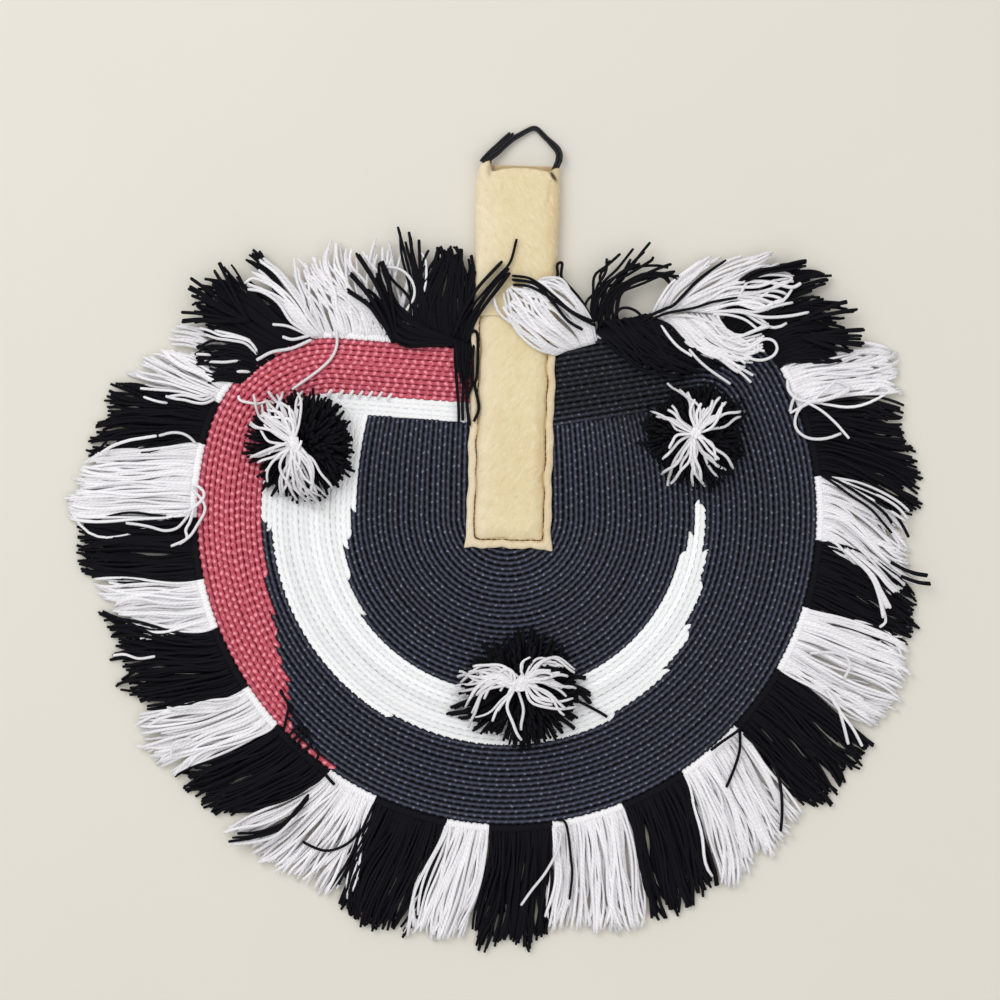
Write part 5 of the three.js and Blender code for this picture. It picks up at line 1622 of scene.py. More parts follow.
def slab(name, top, bottom, flip, attributes):
    """A closed sheet from two grids of points, of which the second lies behind the first."""
    rows, columns, _ = top.shape
    index = np.arange(rows * columns).reshape(rows, columns)
    under = index + rows * columns
    corners = [
        (index[:-1, :-1], index[:-1, 1:], index[1:, 1:], index[1:, :-1]),
        (under[:-1, :-1], under[1:, :-1], under[1:, 1:], under[:-1, 1:]),
        (index[0, :-1], under[0, :-1], under[0, 1:], index[0, 1:]),
        (index[-1, 1:], under[-1, 1:], under[-1, :-1], index[-1, :-1]),
        (index[1:, 0], under[1:, 0], under[:-1, 0], index[:-1, 0]),
        (index[:-1, -1], under[:-1, -1], under[1:, -1], index[1:, -1]),
    ]
    faces = np.concatenate([np.stack(four, -1).reshape(-1, 4) for four in corners])
    points = placed(from_handle(np.concatenate([top.reshape(-1, 3), bottom.reshape(-1, 3)])))
    return mesh_piece(name, points, [faces[:, ::-1] if flip else faces], None, attributes)


PANEL_COLUMNS = 65
PANEL_ROWS = 165
# How far the back panel's waves are shifted against the front one's.
BACK_SHIFT = 2.1


def seam_drift(y, side, shift):
    """How far a seam strays from its line, on the side where side is -1 or 1."""
    return 0.22 * np.sin(y * 0.33 + side * 1.3 + shift)


def panel_shape(side):
    """The leather panel in front of the plate, for side 1, or behind it, for side -1: its cut edge a little wavy
    and its foot's corners flared, with the seam pulled in and the middle padded by the tongue inside."""
    sizes = bpy.context.scene.fan_sizes
    hide, inset = sizes.hide_thickness / MM, sizes.seam_inset / MM
    length = PANEL_TOP + PANEL_TAIL + 0.2
    column = np.linspace(-1, 1, PANEL_COLUMNS)
    column = np.sign(column) * np.abs(column) ** 0.86
    row = np.linspace(0, 1, PANEL_ROWS)
    u, t = np.meshgrid(column, row)
    y = -PANEL_TAIL + t * length
    flare = 1.1 * bell(y + PANEL_TAIL, 7.0)
    phase = 0.0 if side > 0 else BACK_SHIFT
    wobble = 0.28 * np.sin(y * 0.21 + 1 + phase) + 0.2 * np.sin(y * 0.47 + np.sign(u) * 2 + phase)
    half = PANEL_WIDTH / 2 - 0.5 + flare + wobble
    x = u * half
    foot = 0.35 * np.sin(x * 0.4 + phase) + 0.2 * np.sin(x * 0.9 + 1) + 0.5 * np.abs(u) ** 3
    y = y - foot * bell(y + PANEL_TAIL, 5.0)
    from_side = half - np.abs(x)
    from_foot = y + PANEL_TAIL + foot
    line = seam_drift(y, np.sign(u), phase)
    depth = -np.log(np.exp(-from_side / 0.9) + np.exp(-from_foot / 0.9)) * 0.9
    flange, crest = PLATE_HALF + 0.3 + hide, HANDLE_TOP - MIDDLE + 0.1
    padded = ease((depth - inset - 0.3) / 5.5)
    level = flange + (crest - flange) * padded
    level += 0.25 * bell(depth - inset / 2, 1.2) - 0.75 * bell(depth - inset - line, 0.55)
    level += 0.18 * np.sin(x * 0.25 + y * 0.11) * padded + 0.1 * np.sin(y * 0.52 + x * 0.2) * padded
    level -= 0.55 * ease((0.9 - depth) / 0.9)
    level -= 0.6 * ease((y - PANEL_TOP + 1.6) / 1.6)
    if side < 0:
        level = np.minimum(level, MIDDLE - 0.3 + 0.05 * np.sin(x * 0.3 + y * 0.2))
    tongue = (np.abs(x) < TONGUE_WIDTH / 2 + 2) & (y > -TONGUE_WIDTH / 2 - 2)
    below = np.where(tongue, 2.8, PLATE_HALF + 0.3)
    # Along the seam the leather is browned, with painted shade in the seam's groove and just inside it.
    seam = bell(depth - inset - line, 0.5) * 0.9 + bell(depth - inset - 1.0 - line, 1.6) * 0.2
    edge = ease((inset + line - depth) / 0.8) * (0.7 + 0.3 * np.sin(y * 0.9 + x) * 0.3)
    top = np.stack([x, y, MIDDLE + side * level], -1)
    bottom = np.stack([x * 0.997, y, MIDDLE + side * below], -1)
    # The side attribute runs from 0 at the left edge to 1 at the right; the leather's finish paints light on the left
    # and shade on the right from it.
    shade = {"seam": seam, "edge": edge, "hole": np.zeros_like(seam), "side": u * 0.5 + 0.5}
    behind = {word: np.full(seam.size, 0.5 if word == "edge" else 0.0) for word in shade}
    both = {word: np.concatenate([value.ravel(), behind[word]]) for word, value in shade.items()}
    return top, bottom, both


# The sleeve: its sides, its rings below the gathered end and along it, that end's length, the place of the slit
# beside the right hole, across and along the handle, and the height that the leather keeps above the surface.
GRIP_SIDES = 150
GRIP_RINGS = 83
GATHERED_RINGS = 22
GATHERED_END = 9
SLIT_PLACE = (17.6, 169.6)
LOWEST_LEATHER = 0.04


def grip_rings():
    """Rings of the sleeve that wraps the handle's core, from its foot to its open end and back down inside."""
    hide = bpy.context.scene.fan_sizes.hide_thickness / MM
    half, thick = GRIP_WIDTH / 2, HANDLE_TOP - MIDDLE
    flat = half - thick
    around = np.linspace(0, 2 * math.pi, GRIP_SIDES, endpoint=False)
    straight, bend = 2 * flat, math.pi * thick
    reach = np.arange(GRIP_SIDES) / GRIP_SIDES * (2 * straight + 2 * bend)
    x, z = np.empty(GRIP_SIDES), np.empty(GRIP_SIDES)
    for i, s in enumerate(reach):
        if s < straight:
            x[i], z[i] = flat - s, thick
        elif s < straight + bend:
            angle = math.pi / 2 + (s - straight) / thick
            x[i], z[i] = -flat + thick * math.cos(angle), thick * math.sin(angle)
        elif s < 2 * straight + bend:
            x[i], z[i] = -flat + (s - straight - bend), -thick
        else:
            angle = -math.pi / 2 + (s - 2 * straight - bend) / thick
            x[i], z[i] = flat + thick * math.cos(angle), thick * math.sin(angle)
    front = ease((z / thick + 0.35) / 0.7)
    foot = PANEL_TOP + 0.3
    rings, holes, seams, edges, sides = [], [], [], [], []
    gather = GRIP_TOP - GATHERED_END
    lower = np.linspace(foot, gather, GRIP_RINGS + 1)[:-1]
    stations = np.concatenate([lower, np.linspace(gather, GRIP_TOP, GATHERED_RINGS)])
    share = (stations - gather) / GATHERED_END
    for y, near in zip(stations, np.clip(share, 0, 1)):
        dip = np.interp(x, [-21, -19, -15.4, -13.9, -12, -8, -3, 3, 9, 14, 16, 17.4, 19, 21],
                        [3.8, 0.3, -1.2, 3.9, 3.9, 2.7, 2.1, 2.0, 2.5, 3.2, 3.7, 2.9, 1.7, 1.0])
        lip = front * dip + (1 - front) * (0.1 + np.interp(x, [-21, -19, -17], [3.8, 0.8, 0.0]))
        level = y - near * lip
        narrow = 1 - 0.3 * ease(near) * (1 - 0.25 * bell(np.abs(x) - 17.5, 3.0))
        tuck = 1 - 0.07 * ease((foot + 6 - y) / 6)
        tall = z * narrow * tuck
        tall = tall + np.sign(z) * 0.16 * np.sin(x * 0.3 + y * 0.07) * (1 - (x / half) ** 2)
        tall = tall - front * 0.9 * np.minimum(np.abs(x) / flat, 1.0) ** 2
        pinch = bell(level - 172.0, 4.0) * front
        tall = tall + pinch * (0.7 * bell(x + 18, 2.2) - 1.3 * bell(x + 14.4, 1.0) + 0.3 * bell(x - 19, 2.0))
        slit_x, slit_y = x - SLIT_PLACE[0], level - SLIT_PLACE[1]
        slit_along, slit_across = slit_x * 0.55 - slit_y * 0.835, slit_x * 0.835 + slit_y * 0.55
        hole = bell(np.hypot(slit_along / 3.1, slit_across / 0.95), 0.9) * (z > 0)
        tall = tall - 0.8 * hole
        # The slit's bell, which also dents the leather above, becomes a painted shadow in the slit.
        hole = np.clip(hole * 1.7, 0.0, 1.0)
        fold_x = 16.5 - 0.035 * (169.0 - level) ** 1.55 if y < 168.5 else np.full(GRIP_SIDES, 99.0)
        fold = bell(x - fold_x, 1.1) * ease((level - 142) / 20) * (z > 0)
        tall = tall - 0.35 * fold
        wide = x * (1 - 0.012 * ease(near)) + np.sign(x) * 0.2 * np.sin(y * 0.17 + 1) * (np.abs(x) > flat)
        rings.append(np.stack([wide, level, np.maximum(MIDDLE + tall, LOWEST_LEATHER)], -1))
        holes.append(hole)
        # Painted shade in the fold that runs down from the right corner, at the pinched left corner and along the
        # gathered end's lip.
        seams.append(0.22 * fold + 0.5 * pinch * bell(x + 14.4, 0.8) + 0.25 * ease((near - 0.9) * 10))
        edges.append(0.35 * ease((np.abs(x) - flat) / 4) + 0.3 * near)
        # The side attribute runs from 0 at the left edge to 1 at the right; the leather's finish paints light on the
        # left and shade on the right from it.
        sides.append(x / half * 0.5 + 0.5)
    mouth = rings[-1]
    centre = np.array([0.0, 0.0, MIDDLE])
    folds = [
        (-0.25, 0.25), (-0.3, 0.6), (-0.15, 0.95), (0.3, 1.0),
        (np.maximum(dip - 0.9, 0.4), 1.0), (np.maximum(dip, 1.4) - 0.25, 1.0), (11.0, 1.0),
    ]
    for step, (drop, thin) in enumerate(folds):
        offset = mouth - centre
        inward = np.stack([offset[:, 0] * (1 - thin * hide / half), mouth[:, 1] - drop, offset[:, 2]], -1)
        tall = offset[:, 2]
        inward[:, 2] = MIDDLE + np.sign(tall) * np.maximum(np.abs(tall) - thin * hide, 0.12 * np.abs(np.sin(around)))
        rings.append(inward)
        # Inside the mouth: painted shade on the inner rings, deeper from the fourth on, and a painted shadow from the
        # sixth on.
        holes.append(np.full(GRIP_SIDES, 1.0 if step >= 5 else 0.0))
        seams.append(np.full(GRIP_SIDES, 0.35 + 0.3 * (step >= 3)))
        edges.append(np.full(GRIP_SIDES, 0.4))
        sides.append(x / half * 0.5 + 0.5)
    rings = np.array(rings)[:, ::-1]
    attributes = [np.array(values)[:, ::-1].ravel() for values in (seams, edges, holes, sides)]
    return rings, dict(zip(("seam", "edge", "hole", "side"), attributes))


def seam_route(half, foot, top, spacing):
    """Places of the stitches down one side of a panel, across its foot and up the other side."""
    cut = 1.5
    right = [(half - cut, foot), (half, foot + cut), (half, top)]
    left = [(-x, y) for x, y in reversed(right)]
    return even_path(np.array(left + right), spacing)


# ---------------------------------------------------------------------------------------------
# Operators

# The camera's place over the fan, the plate's height that is added to its own, and its lens in millimetres at one
# metre above the plate.
CAMERA_PLACE = (0.0019, 0.0174)
CAMERA_RISE = 0.005
LENS_AT_ONE_METRE = 72.0

# Each lamp: name, place and size in metres, and power in watts.
LAMPS = [
    ("window_light", (-0.9, 0.9, 1.5), 1.3, 15.0),
    ("fill_light", (0.9, -0.6, 1.7), 1.6, 5.0),
]


class FAN_OT_stage(bpy.types.Operator):
    """Lay a plain pale floor under the fan, light it softly and look straight down on it"""

    bl_idname = "fan.stage"
    bl_label = "Stage"

    def execute(self, context):
        sizes = context.scene.fan_sizes
        deselect()
        bpy.ops.mesh.primitive_plane_add(size=sizes.floor_size, location=(0, 0, 0))
        floor = context.object
        floor.name = "floor"
        floor.data.materials.append(finish_for("floor"))

        place = (*CAMERA_PLACE, sizes.camera_height + CAMERA_RISE)
        bpy.ops.object.camera_add(location=place, rotation=(0, 0, 0))
        camera = context.object
        camera.name = "camera"
        camera.data.sensor_width = 36.0
        camera.data.lens = LENS_AT_ONE_METRE * sizes.camera_height
        context.scene.camera = camera

        for name, place, size, power in LAMPS:
            bpy.ops.object.light_add(type="AREA", location=place)
            lamp = context.object
            lamp.name = name
            lamp.data.size = size
            lamp.data.energy = power
            aim = -lamp.location
            lamp.rotation_euler = aim.to_track_quat("-Z", "Y").to_euler()

        world = bpy.data.worlds.new("soft_room")
        world.use_nodes = True
        sky = world.node_tree.nodes["Background"]
        sky.inputs["Color"].default_value = (1.0, 0.99, 0.975, 1.0)
        sky.inputs["Strength"].default_value = 0.62
        context.scene.world = world
        context.scene.view_settings.view_transform = "Standard"
        return {"FINISHED"}


# Where the loop and its spare end lie, across the handle and along it from the sleeve's end.
LOOP_ROUTE = [
    (-14.8, 2.5), (-14.3, 3.1), (-10.9, 6.0), (-6.1, 10.9), (-2.6, 13.9), (0.3, 15.8), (3.7, 17.9), (6.8, 19.3),
    (9.0, 18.7), (12.7, 15.0), (16.8, 11.1), (19.1, 8.6), (20.1, 6.2), (20.1, 4.2), (19.9, 2.5),
]
SPARE_ROUTE = [(-18.5, 0.9), (-17.5, 2.5), (-16.2, 4.1), (-12.8, 7.8), (-8.0, 12.6), (-3.1, 17.3)]

# Each end of the cord: its side, where it is knotted in the sleeve and where it meets the loop on the hinge line,
# both across the handle, and how thick it is there.
CORD_ENDS = (("left", -16.8, -14.8, 0.98), ("right", 17.6, 19.9, 1.3))
# How deep in the sleeve the knots sit, and the radius and the lean of their turns.
KNOT_DEPTH = 5
KNOT_RADIUS = 1.5
KNOT_TURNS = [(0.3, 0.4, 0.0), (1.4, 0.2, 0.9)]
# The direction along which a ball's points and faces are counted. No two of them lie level on it.
ORDER = (0.001, 0.037, 0.911)

# The loop's height at its far end, the spacing of its points, the length of one turn of its braid, its sides, and
# how much its strands part and thicken towards the right end, from which share of the loop on and over how long.
LOOP_FAR_HEIGHT = 1.4
LOOP_STEP = 0.6
BRAID_TURN = 1.5
CORD_SIDES = 12
PARTING = 0.34
PARTING_START = 0.74
PARTING_LENGTH = 0.1


def loop_line(route):
    """The line of a route of the cord, which droops from the hinge to the surface that the fan lies on."""
    route = np.array(route)
    furthest = max(out for _, out in LOOP_ROUTE)
    droop = (route[:, 1] - HINGE_GAP) / (furthest - HINGE_GAP) * (MIDDLE - LOOP_FAR_HEIGHT)
    line = from_handle(np.column_stack([route[:, 0], GRIP_TOP + route[:, 1], MIDDLE - droop]))
    return even_path(smooth_path(line, 400), LOOP_STEP)


def doubled(line, gap):
    """The two strands that lie side by side along a line, and now and then turn about each other a little."""
    ahead = unit(np.gradient(line, axis=0))
    across = unit(np.stack([-ahead[:, 1], ahead[:, 0], np.zeros(len(line))], -1))
    tilt = 0.45 * np.sin(np.linspace(0, 9, len(line)))[:, None]
    apart = (across * np.cos(tilt) + np.array([0, 0, 1.0]) * np.sin(tilt)) * np.reshape(gap, (-1, 1))
    return np.stack([line + apart, line - apart])


def put_in_order(mesh):
    """Gives a ball's points and faces an order that is the same on every run."""
    shape = bmesh.new()
    shape.from_mesh(mesh)
    shape.verts.sort(key=lambda vertex: vertex.co.dot(ORDER))
    shape.faces.sort(key=lambda face: face.calc_center_median().dot(ORDER))
    shape.to_mesh(mesh)
    shape.free()


class FAN_OT_hanging_loop(bpy.types.Operator):
    """Make the doubled cord that hangs the fan, with its spare end folded back along the left side"""

    bl_idname = "fan.hanging_loop"
    bl_label = "Hanging loop"

    def execute(self, context):
        width = context.scene.fan_sizes.cord_width / MM
        line, spare = loop_line(LOOP_ROUTE), loop_line(SPARE_ROUTE)
        opening = PARTING * np.clip((np.linspace(0, 1, len(line)) - PARTING_START) / PARTING_LENGTH, 0, 1)
        strands = doubled(line, width / 2 * (0.96 + opening))
        skin = Skin()
        radii = np.tile(width / 2 * (1 + opening), (2, 1))
        along = np.arange(len(line))[None, :, None] * LOOP_STEP / BRAID_TURN
        around = np.arange(CORD_SIDES + 1)[None, None] / CORD_SIDES
        skin.add(rings_round(strands, radii, CORD_SIDES), np.repeat(along, 2, 0), around, 0.5)
        loop = keep_piece(skin.piece("loop_cord"), "black_cord", "loop", ["hanging_loop"])

        tail = Skin()
        for strand, cut in zip(doubled(spare, width * 0.49), (3, 1)):
            strand = strand[:-cut]
            size = np.full((1, len(strand)), width / 2)
            size[0, [0, -1]] *= 0.8
            tail.add(rings_round(strand[None], size, CORD_SIDES), along[:, : len(strand)], around, 0.5)
        end = keep_piece(tail.piece("loop_spare_end"), "black_cord", "loop")

        path = placed(line)
        tuple(path[0])
        [tuple(point) for point in path]

        for name, x, hinge_x, spread in CORD_ENDS:
            knot = self.knot(context, name, x - math.copysign(0.8, x), hinge_x, width, spread)
            keep_piece(knot, "black_cord", "fan", [f"loop_knot_{name}"])
        return {"FINISHED"}

    def knot(self, context, name, x, hinge_x, width, spread):
        """One end of the cord inside the sleeve: two turns of the knot, and two stems that end in round elbows."""
        radius = width / 2 * MM
        deselect()
        for number, angles in enumerate(KNOT_TURNS):
            where = placed(from_handle(np.array([x, GRIP_TOP - KNOT_DEPTH, MIDDLE])))
            bpy.ops.mesh.primitive_torus_add(
                major_segments=28,
                minor_segments=CORD_SIDES,
                major_radius=KNOT_RADIUS * MM,
                minor_radius=radius,
                location=tuple(where),
                rotation=angles,
            )
            context.object.name = f"wrap_{name}_{number}"
        for side in (-0.5, 0.5):
            low = placed(from_handle(np.array([x + side * width, GRIP_TOP - KNOT_DEPTH, MIDDLE])))
            high = placed(from_handle(np.array([hinge_x + side * width * spread, GRIP_TOP + HINGE_GAP, MIDDLE])))
            middle, rise = (low + high) / 2, high - low
            bpy.ops.mesh.primitive_cylinder_add(
                vertices=CORD_SIDES,
                radius=radius * 0.98 * spread,
                depth=float(np.linalg.norm(rise)),
                location=tuple(middle),
                rotation=(-math.pi / 2, 0, -math.atan2(rise[0], rise[1])),
            )
            context.object.name = f"wrap_{name}_stem"
            bpy.ops.mesh.primitive_uv_sphere_add(
                segments=CORD_SIDES, ring_count=8, radius=radius * spread, location=tuple(high)
            )
            context.object.name = f"wrap_{name}_elbow"
            put_in_order(context.object.data)
        wraps = [o for o in context.scene.objects if o.name.startswith(f"wrap_{name}")]
        deselect()
        for wrap in wraps:
            wrap.select_set(True)
        context.view_layer.objects.active = wraps[0]
        bpy.ops.object.join()
        bpy.ops.object.transform_apply(location=True, rotation=True, scale=True)
        bpy.ops.object.shade_smooth_by_angle(angle=1.0)
        context.object.name = f"loop_knot_{name}_cord"
        return context.object


class FAN_OT_coiled_plate(bpy.types.Operator):
    """Coil the stitched strip into the plate, row by row, in its three colours"""

    bl_idname = "fan.coiled_plate"
    bl_label = "Coiled plate"

    def execute(self, context):
        spacing = context.scene.fan_sizes.stitch_spacing / MM / STITCH_POINTS
        counts = {}
        for zone, skins in plate_skins(spacing):
            for slot, skin in skins.items():
                node = PLATE_NODES[(zone, slot)]
                counts[node] = counts.get(node, 0) + 1
                keep_piece(skin.piece(f"{node}_rows_{counts[node]}"), slot, "fan", [node])
        return {"FINISHED"}


class FAN_OT_leather_panels(bpy.types.Operator):
    """Cut the two leather panels that close over the plate and pad them over the tongue"""

    bl_idname = "fan.leather_panels"
    bl_label = "Leather panels"

    def execute(self, context):
        for side, node in ((1, "front_panel"), (-1, "back_panel")):
            top, bottom, attributes = panel_shape(side)
            piece = slab(f"{node}_leather", top, bottom, side < 0, attributes)
            keep_piece(piece, "hide", "fan", [node])
        return {"FINISHED"}


class FAN_OT_grip_sleeve(bpy.types.Operator):
    """Wrap the handle's core in its leather sleeve, with a gathered end and two holes for the cord"""

    bl_idname = "fan.grip_sleeve"
    bl_label = "Grip sleeve"

    def execute(self, context):
        rings, attributes = grip_rings()
        count, sides, _ = rings.shape
        index = np.arange(count * sides).reshape(count, sides)
        after = np.roll(index, -1, axis=1)
        quads = np.stack([index[:-1], after[:-1], after[1:], index[1:]], -1).reshape(-1, 4)
        points = placed(from_handle(rings.reshape(-1, 3)))
        faces = [quads, index[:1, ::-1], index[-1:]]
        piece = mesh_piece("grip_sleeve_leather", points, faces, None, attributes)
        keep_piece(piece, "hide", "fan", ["grip_sleeve"])
        keep_node("handle_core", "wood")
        return {"FINISHED"}


def keep_node(node, slot):
    """A solid that stays in view, with a better material."""
    for place in frame["nodes"][node].material_slots:
        place.material = finish_for(slot)


class FAN_OT_seams(bpy.types.Operator):
    """Sew the leather: one stitch is modelled and set again and again along each seam"""

    bl_idname = "fan.seams"
    bl_label = "Seams"

    def execute(self, context):
        sizes = context.scene.fan_sizes
        length, inset = sizes.seam_stitch / MM, sizes.seam_inset / MM
        deselect()
        bpy.ops.mesh.primitive_cylinder_add(
            vertices=8, radius=0.4 * MM, depth=length * 0.92 * MM, rotation=(0, math.pi / 2, 0)
        )
        stitch = context.object
        bpy.ops.object.transform_apply(location=True, rotation=True, scale=True)
        bpy.ops.object.mode_set(mode="EDIT")
        bpy.ops.mesh.select_all(action="SELECT")
        bpy.ops.mesh.bevel(offset=0.25 * MM, segments=1, affect="EDGES")
        bpy.ops.object.mode_set(mode="OBJECT")
        shape = np.array([v.co[:] for v in stitch.data.vertices]) / MM
        faces = [tuple(p.vertices) for p in stitch.data.polygons]
        bpy.data.objects.remove(stitch)

        half = PANEL_WIDTH / 2 - inset
        panel = seam_route(half, -PANEL_TAIL + inset, PANEL_TOP - 2, length)
        back = np.array([(0.0, PANEL_TOP + 4.3), (0.0, GRIP_TOP - 4)])
        flange = PLATE_HALF + 0.3 + sizes.hide_thickness / MM - 0.5
        seams = [
            ("front_panel_seam", panel, 1, flange, 0.0),
            ("back_panel_seam", panel, -1, flange, BACK_SHIFT),
            ("grip_back_seam", even_path(back, length), -1, HANDLE_TOP - MIDDLE - 0.25, 1.0),
        ]
        rng = np.random.default_rng(5)
        for node, route, side, level, phase in seams:
            points, polygons = [], []
            for number, (a, b) in enumerate(zip(route[:-1], route[1:])):
                middle = (a + b) / 2
                if node != "grip_back_seam" and abs(abs(middle[0]) - half) < 0.1:
                    which = np.sign(middle[0])
                    middle = middle - [which * seam_drift(middle[1], which, phase), 0]
                ahead = unit(b - a) + rng.normal(0, 0.05, 2)
                across = np.array([-ahead[1], ahead[0]])
                flat = middle + shape[:, :1] * ahead + shape[:, 1:2] * across
                tall = MIDDLE + side * (level + shape[:, 2] * 0.8 - 0.12 * (shape[:, 0] / length * 2) ** 2)
                points.append(np.column_stack([flat, tall]))
                for face in faces:
                    turned = face if side > 0 else face[::-1]
                    polygons.append([number * len(shape) + corner for corner in turned])
            mesh = bpy.data.meshes.new(f"{node}_stitches")
            mesh.from_pydata(placed(from_handle(np.concatenate(points))).tolist(), [], polygons)
            mesh.polygons.foreach_set("use_smooth", np.ones(len(polygons), bool))
            piece = bpy.data.objects.new(f"{node}_stitches", mesh)
            context.scene.collection.objects.link(piece)
            keep_piece(piece, "thread", "fan", [node])
        return {"FINISHED"}


class FAN_OT_fringe(bpy.types.Operator):
    """Sew the heading round the rim and hang a bundle of yarn from each stretch of it"""

    bl_idname = "fan.fringe"
    bl_label = "Fringe"

    def execute(self, context):
        rng = np.random.default_rng(11)
        width, density = yarn_width(), context.scene.fan_sizes.fringe_density
        headers = {"black_yarn": Skin(), "white_yarn": Skin()}
        stretches = {number: (start, stop) for number, (start, stop, _) in enumerate(TASSELS)}
        stretches.update(HEADING_STRETCHES)
        for number, (start, stop) in stretches.items():
            slot = "white_yarn" if number % 2 else "black_yarn"
            line = even_path(edge_at(np.linspace(start + 0.1, stop - 0.1, 80), 2.1), HEADING_STEP)
            along = np.arange(len(line))[None, :, None] * HEADING_STEP / HEADING_RIB
            around = np.arange(HEADING_SIDES + 1)[None, None] / HEADING_SIDES
            headers[slot].add(heading_rings(line, rng)[None], along, around, 1.0)
        for slot, skin in headers.items():
            keep_piece(skin.piece(f"fringe_header_{slot}"), slot, "fan", ["fringe_header"])

        for number, (start, stop, tips) in enumerate(TASSELS):
            if tips is None:
                continue
            colour = "white" if number % 2 else "black"
            node = f"tassel_{number + 1:02d}_{colour}"
            root = line_length(edge_at(np.linspace(start, stop, 20), 1.6))
            count = int(root * density * (1.12 if colour == "black" else 1.0)) + 6
            skin = Skin()
            raised = 0.9 if colour == "white" else 0.0
            add_strands(skin, tassel_paths(rng, start, stop, from_layout(tips), count, raised), rng, width)
            keep_piece(skin.piece(f"{node}_yarn"), f"{colour}_yarn", "fan", [node])
        return {"FINISHED"}


def heading_rings(line, rng):
    """Rings of the heading's tape: flat, ribbed by the yarn that is sewn over it, and scalloped at its stitches."""
    ahead = unit(np.gradient(line, axis=0))
    outward = -quarter_turned(ahead)
    turn = directions_round(HEADING_SIDES)
    place = np.arange(len(line)) * HEADING_STEP
    rib = 0.9 + 0.16 * np.abs(np.sin(place * math.pi / HEADING_RIB)) + rng.normal(0, 0.03, len(line))
    scallop = np.abs(np.sin(place * math.pi / 2.9 + rng.random() * 3))
    inner = (np.cos(turn) < 0)[None] * (0.78 + 0.34 * scallop)[:, None] + (np.cos(turn) >= 0)[None]
    reach = 2.0 * np.cos(turn)[None] * inner
    rise = 1.55 * np.sin(turn)[None] * rib[:, None]
    flat = line[:, None] + outward[:, None] * reach[..., None]
    return np.concatenate([flat, (MIDDLE + rise)[..., None]], -1)


class FAN_OT_tousled_bundles(bpy.types.Operator):
    """Tousle the bundles at the top, and flop the locks beside the handle over it and over the plate"""

    bl_idname = "fan.tousled_bundles"
    bl_label = "Tousled bundles"

    def execute(self, context):
        rng = np.random.default_rng(23)
        skins = {}
        for node, sheaves in SHEAVES:
            colour = "white" if node.endswith("white") else "black"
            _, skin = skins.setdefault(node, (colour, Skin()))
            for count, loose, short, wave, heights, one, other in sheaves:
                edges = (np.column_stack([from_layout(edge), heights]) for edge in (one, other))
                paths = sheaf_paths(rng, *edges, count, loose, short, wave, *SHEAF_LOCKS[colour])
                add_strands(skin, paths, rng, yarn_width())
        for node, (colour, skin) in skins.items():
            keep_piece(skin.piece(f"{node}_yarn"), f"{colour}_yarn", "fan", [node])
        return {"FINISHED"}


class FAN_OT_pompoms(bpy.types.Operator):
    """Tie the three pompoms to the plate: a black dome of cut yarn, a white tuft and a knot behind"""

    bl_idname = "fan.pompoms"
    bl_label = "Pompoms"

    def execute(self, context):
        rng = np.random.default_rng(31)
        width, count = yarn_width(), context.scene.fan_sizes.pompom_strands
        for name, (angle, inset, radius, offset, lean, arch, knot, gathered, ends) in POMPOMS.items():
            place = polar(PLATE_RADIUS - inset, angle)
            skin = Skin()
            add_strands(skin, pompom_paths(rng, place, radius, lean, count), rng, width)
            keep_piece(skin.piece(f"pompom_{name}_black_yarn"), "black_yarn", "fan", [f"pompom_{name}_black"])
            skin = Skin()
            add_strands(skin, tuft_paths(rng, place, radius, offset, arch, knot, gathered, ends), rng, width * 0.94)
            keep_piece(skin.piece(f"pompom_{name}_tuft_yarn"), "white_yarn", "fan", [f"pompom_{name}_tuft"])

            skin = Skin()
            for paths, share in tie_paths(rng, place):
                add_strands(skin, paths, rng, width * share)
            keep_piece(skin.piece(f"pompom_{name}_tie_yarn"), "black_yarn", "fan", [f"pompom_{name}_tie"])
        return {"FINISHED"}


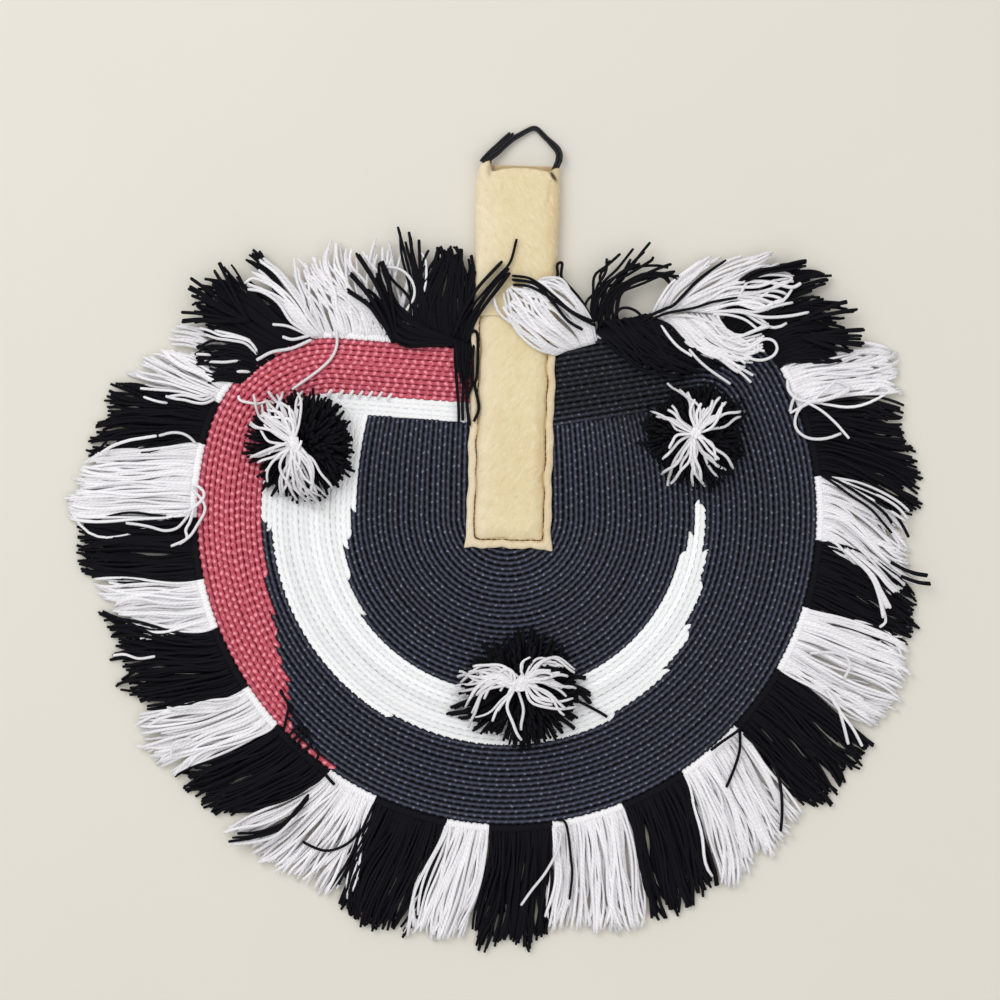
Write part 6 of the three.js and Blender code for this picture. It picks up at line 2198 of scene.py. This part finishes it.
class FAN_OT_stray_strands(bpy.types.Operator):
    """Lay the stray strands that lie apart from their bundles"""

    bl_idname = "fan.stray_strands"
    bl_label = "Stray strands"

    def execute(self, context):
        rng = np.random.default_rng(41)
        skins = {"black": Skin(), "white": Skin()}
        for colour, stations in stray_strands():
            path = smooth_path(from_layout(stations), STRAY_POINTS)
            add_strands(skins[colour], path[None], rng, yarn_width())
        for colour, skin in skins.items():
            keep_piece(skin.piece(f"stray_{colour}_strands"), f"{colour}_yarn")
        return {"FINISHED"}


STEPS = (
    FAN_OT_stage,
    FAN_OT_hanging_loop,
    FAN_OT_coiled_plate,
    FAN_OT_leather_panels,
    FAN_OT_grip_sleeve,
    FAN_OT_seams,
    FAN_OT_fringe,
    FAN_OT_tousled_bundles,
    FAN_OT_pompoms,
    FAN_OT_stray_strands,
)


class FAN_PT_builder(bpy.types.Panel):
    """Sizes, colours and building steps of the wall fan"""

    bl_idname = "FAN_PT_builder"
    bl_label = "Woven wall fan"
    bl_space_type = "VIEW_3D"
    bl_region_type = "UI"
    bl_category = "Wall Fan"

    def draw(self, context):
        layout = self.layout
        for title, group in (("Sizes", context.scene.fan_sizes), ("Colours", context.scene.fan_colours)):
            box = layout.box()
            box.label(text=title)
            for key in type(group).__annotations__:
                box.prop(group, key)
        for step in STEPS:
            layout.operator(step.bl_idname)


CLASSES = (FanSizes, FanColours, *STEPS, FAN_PT_builder)


def register():
    """Adds the sizes, the colours, the operators and the panel."""
    for item in CLASSES:
        bpy.utils.register_class(item)
    bpy.types.Scene.fan_sizes = PointerProperty(type=FanSizes)
    bpy.types.Scene.fan_colours = PointerProperty(type=FanColours)


def unregister():
    """Takes them out again."""
    del bpy.types.Scene.fan_sizes
    del bpy.types.Scene.fan_colours
    for item in reversed(CLASSES):
        bpy.utils.unregister_class(item)


def main():
    """Builds the whole fan."""
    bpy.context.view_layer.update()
    register()
    for step in STEPS:
        category, name = step.bl_idname.split(".")
        getattr(getattr(bpy.ops, category), name)()


if __name__ == "__main__":
    main()
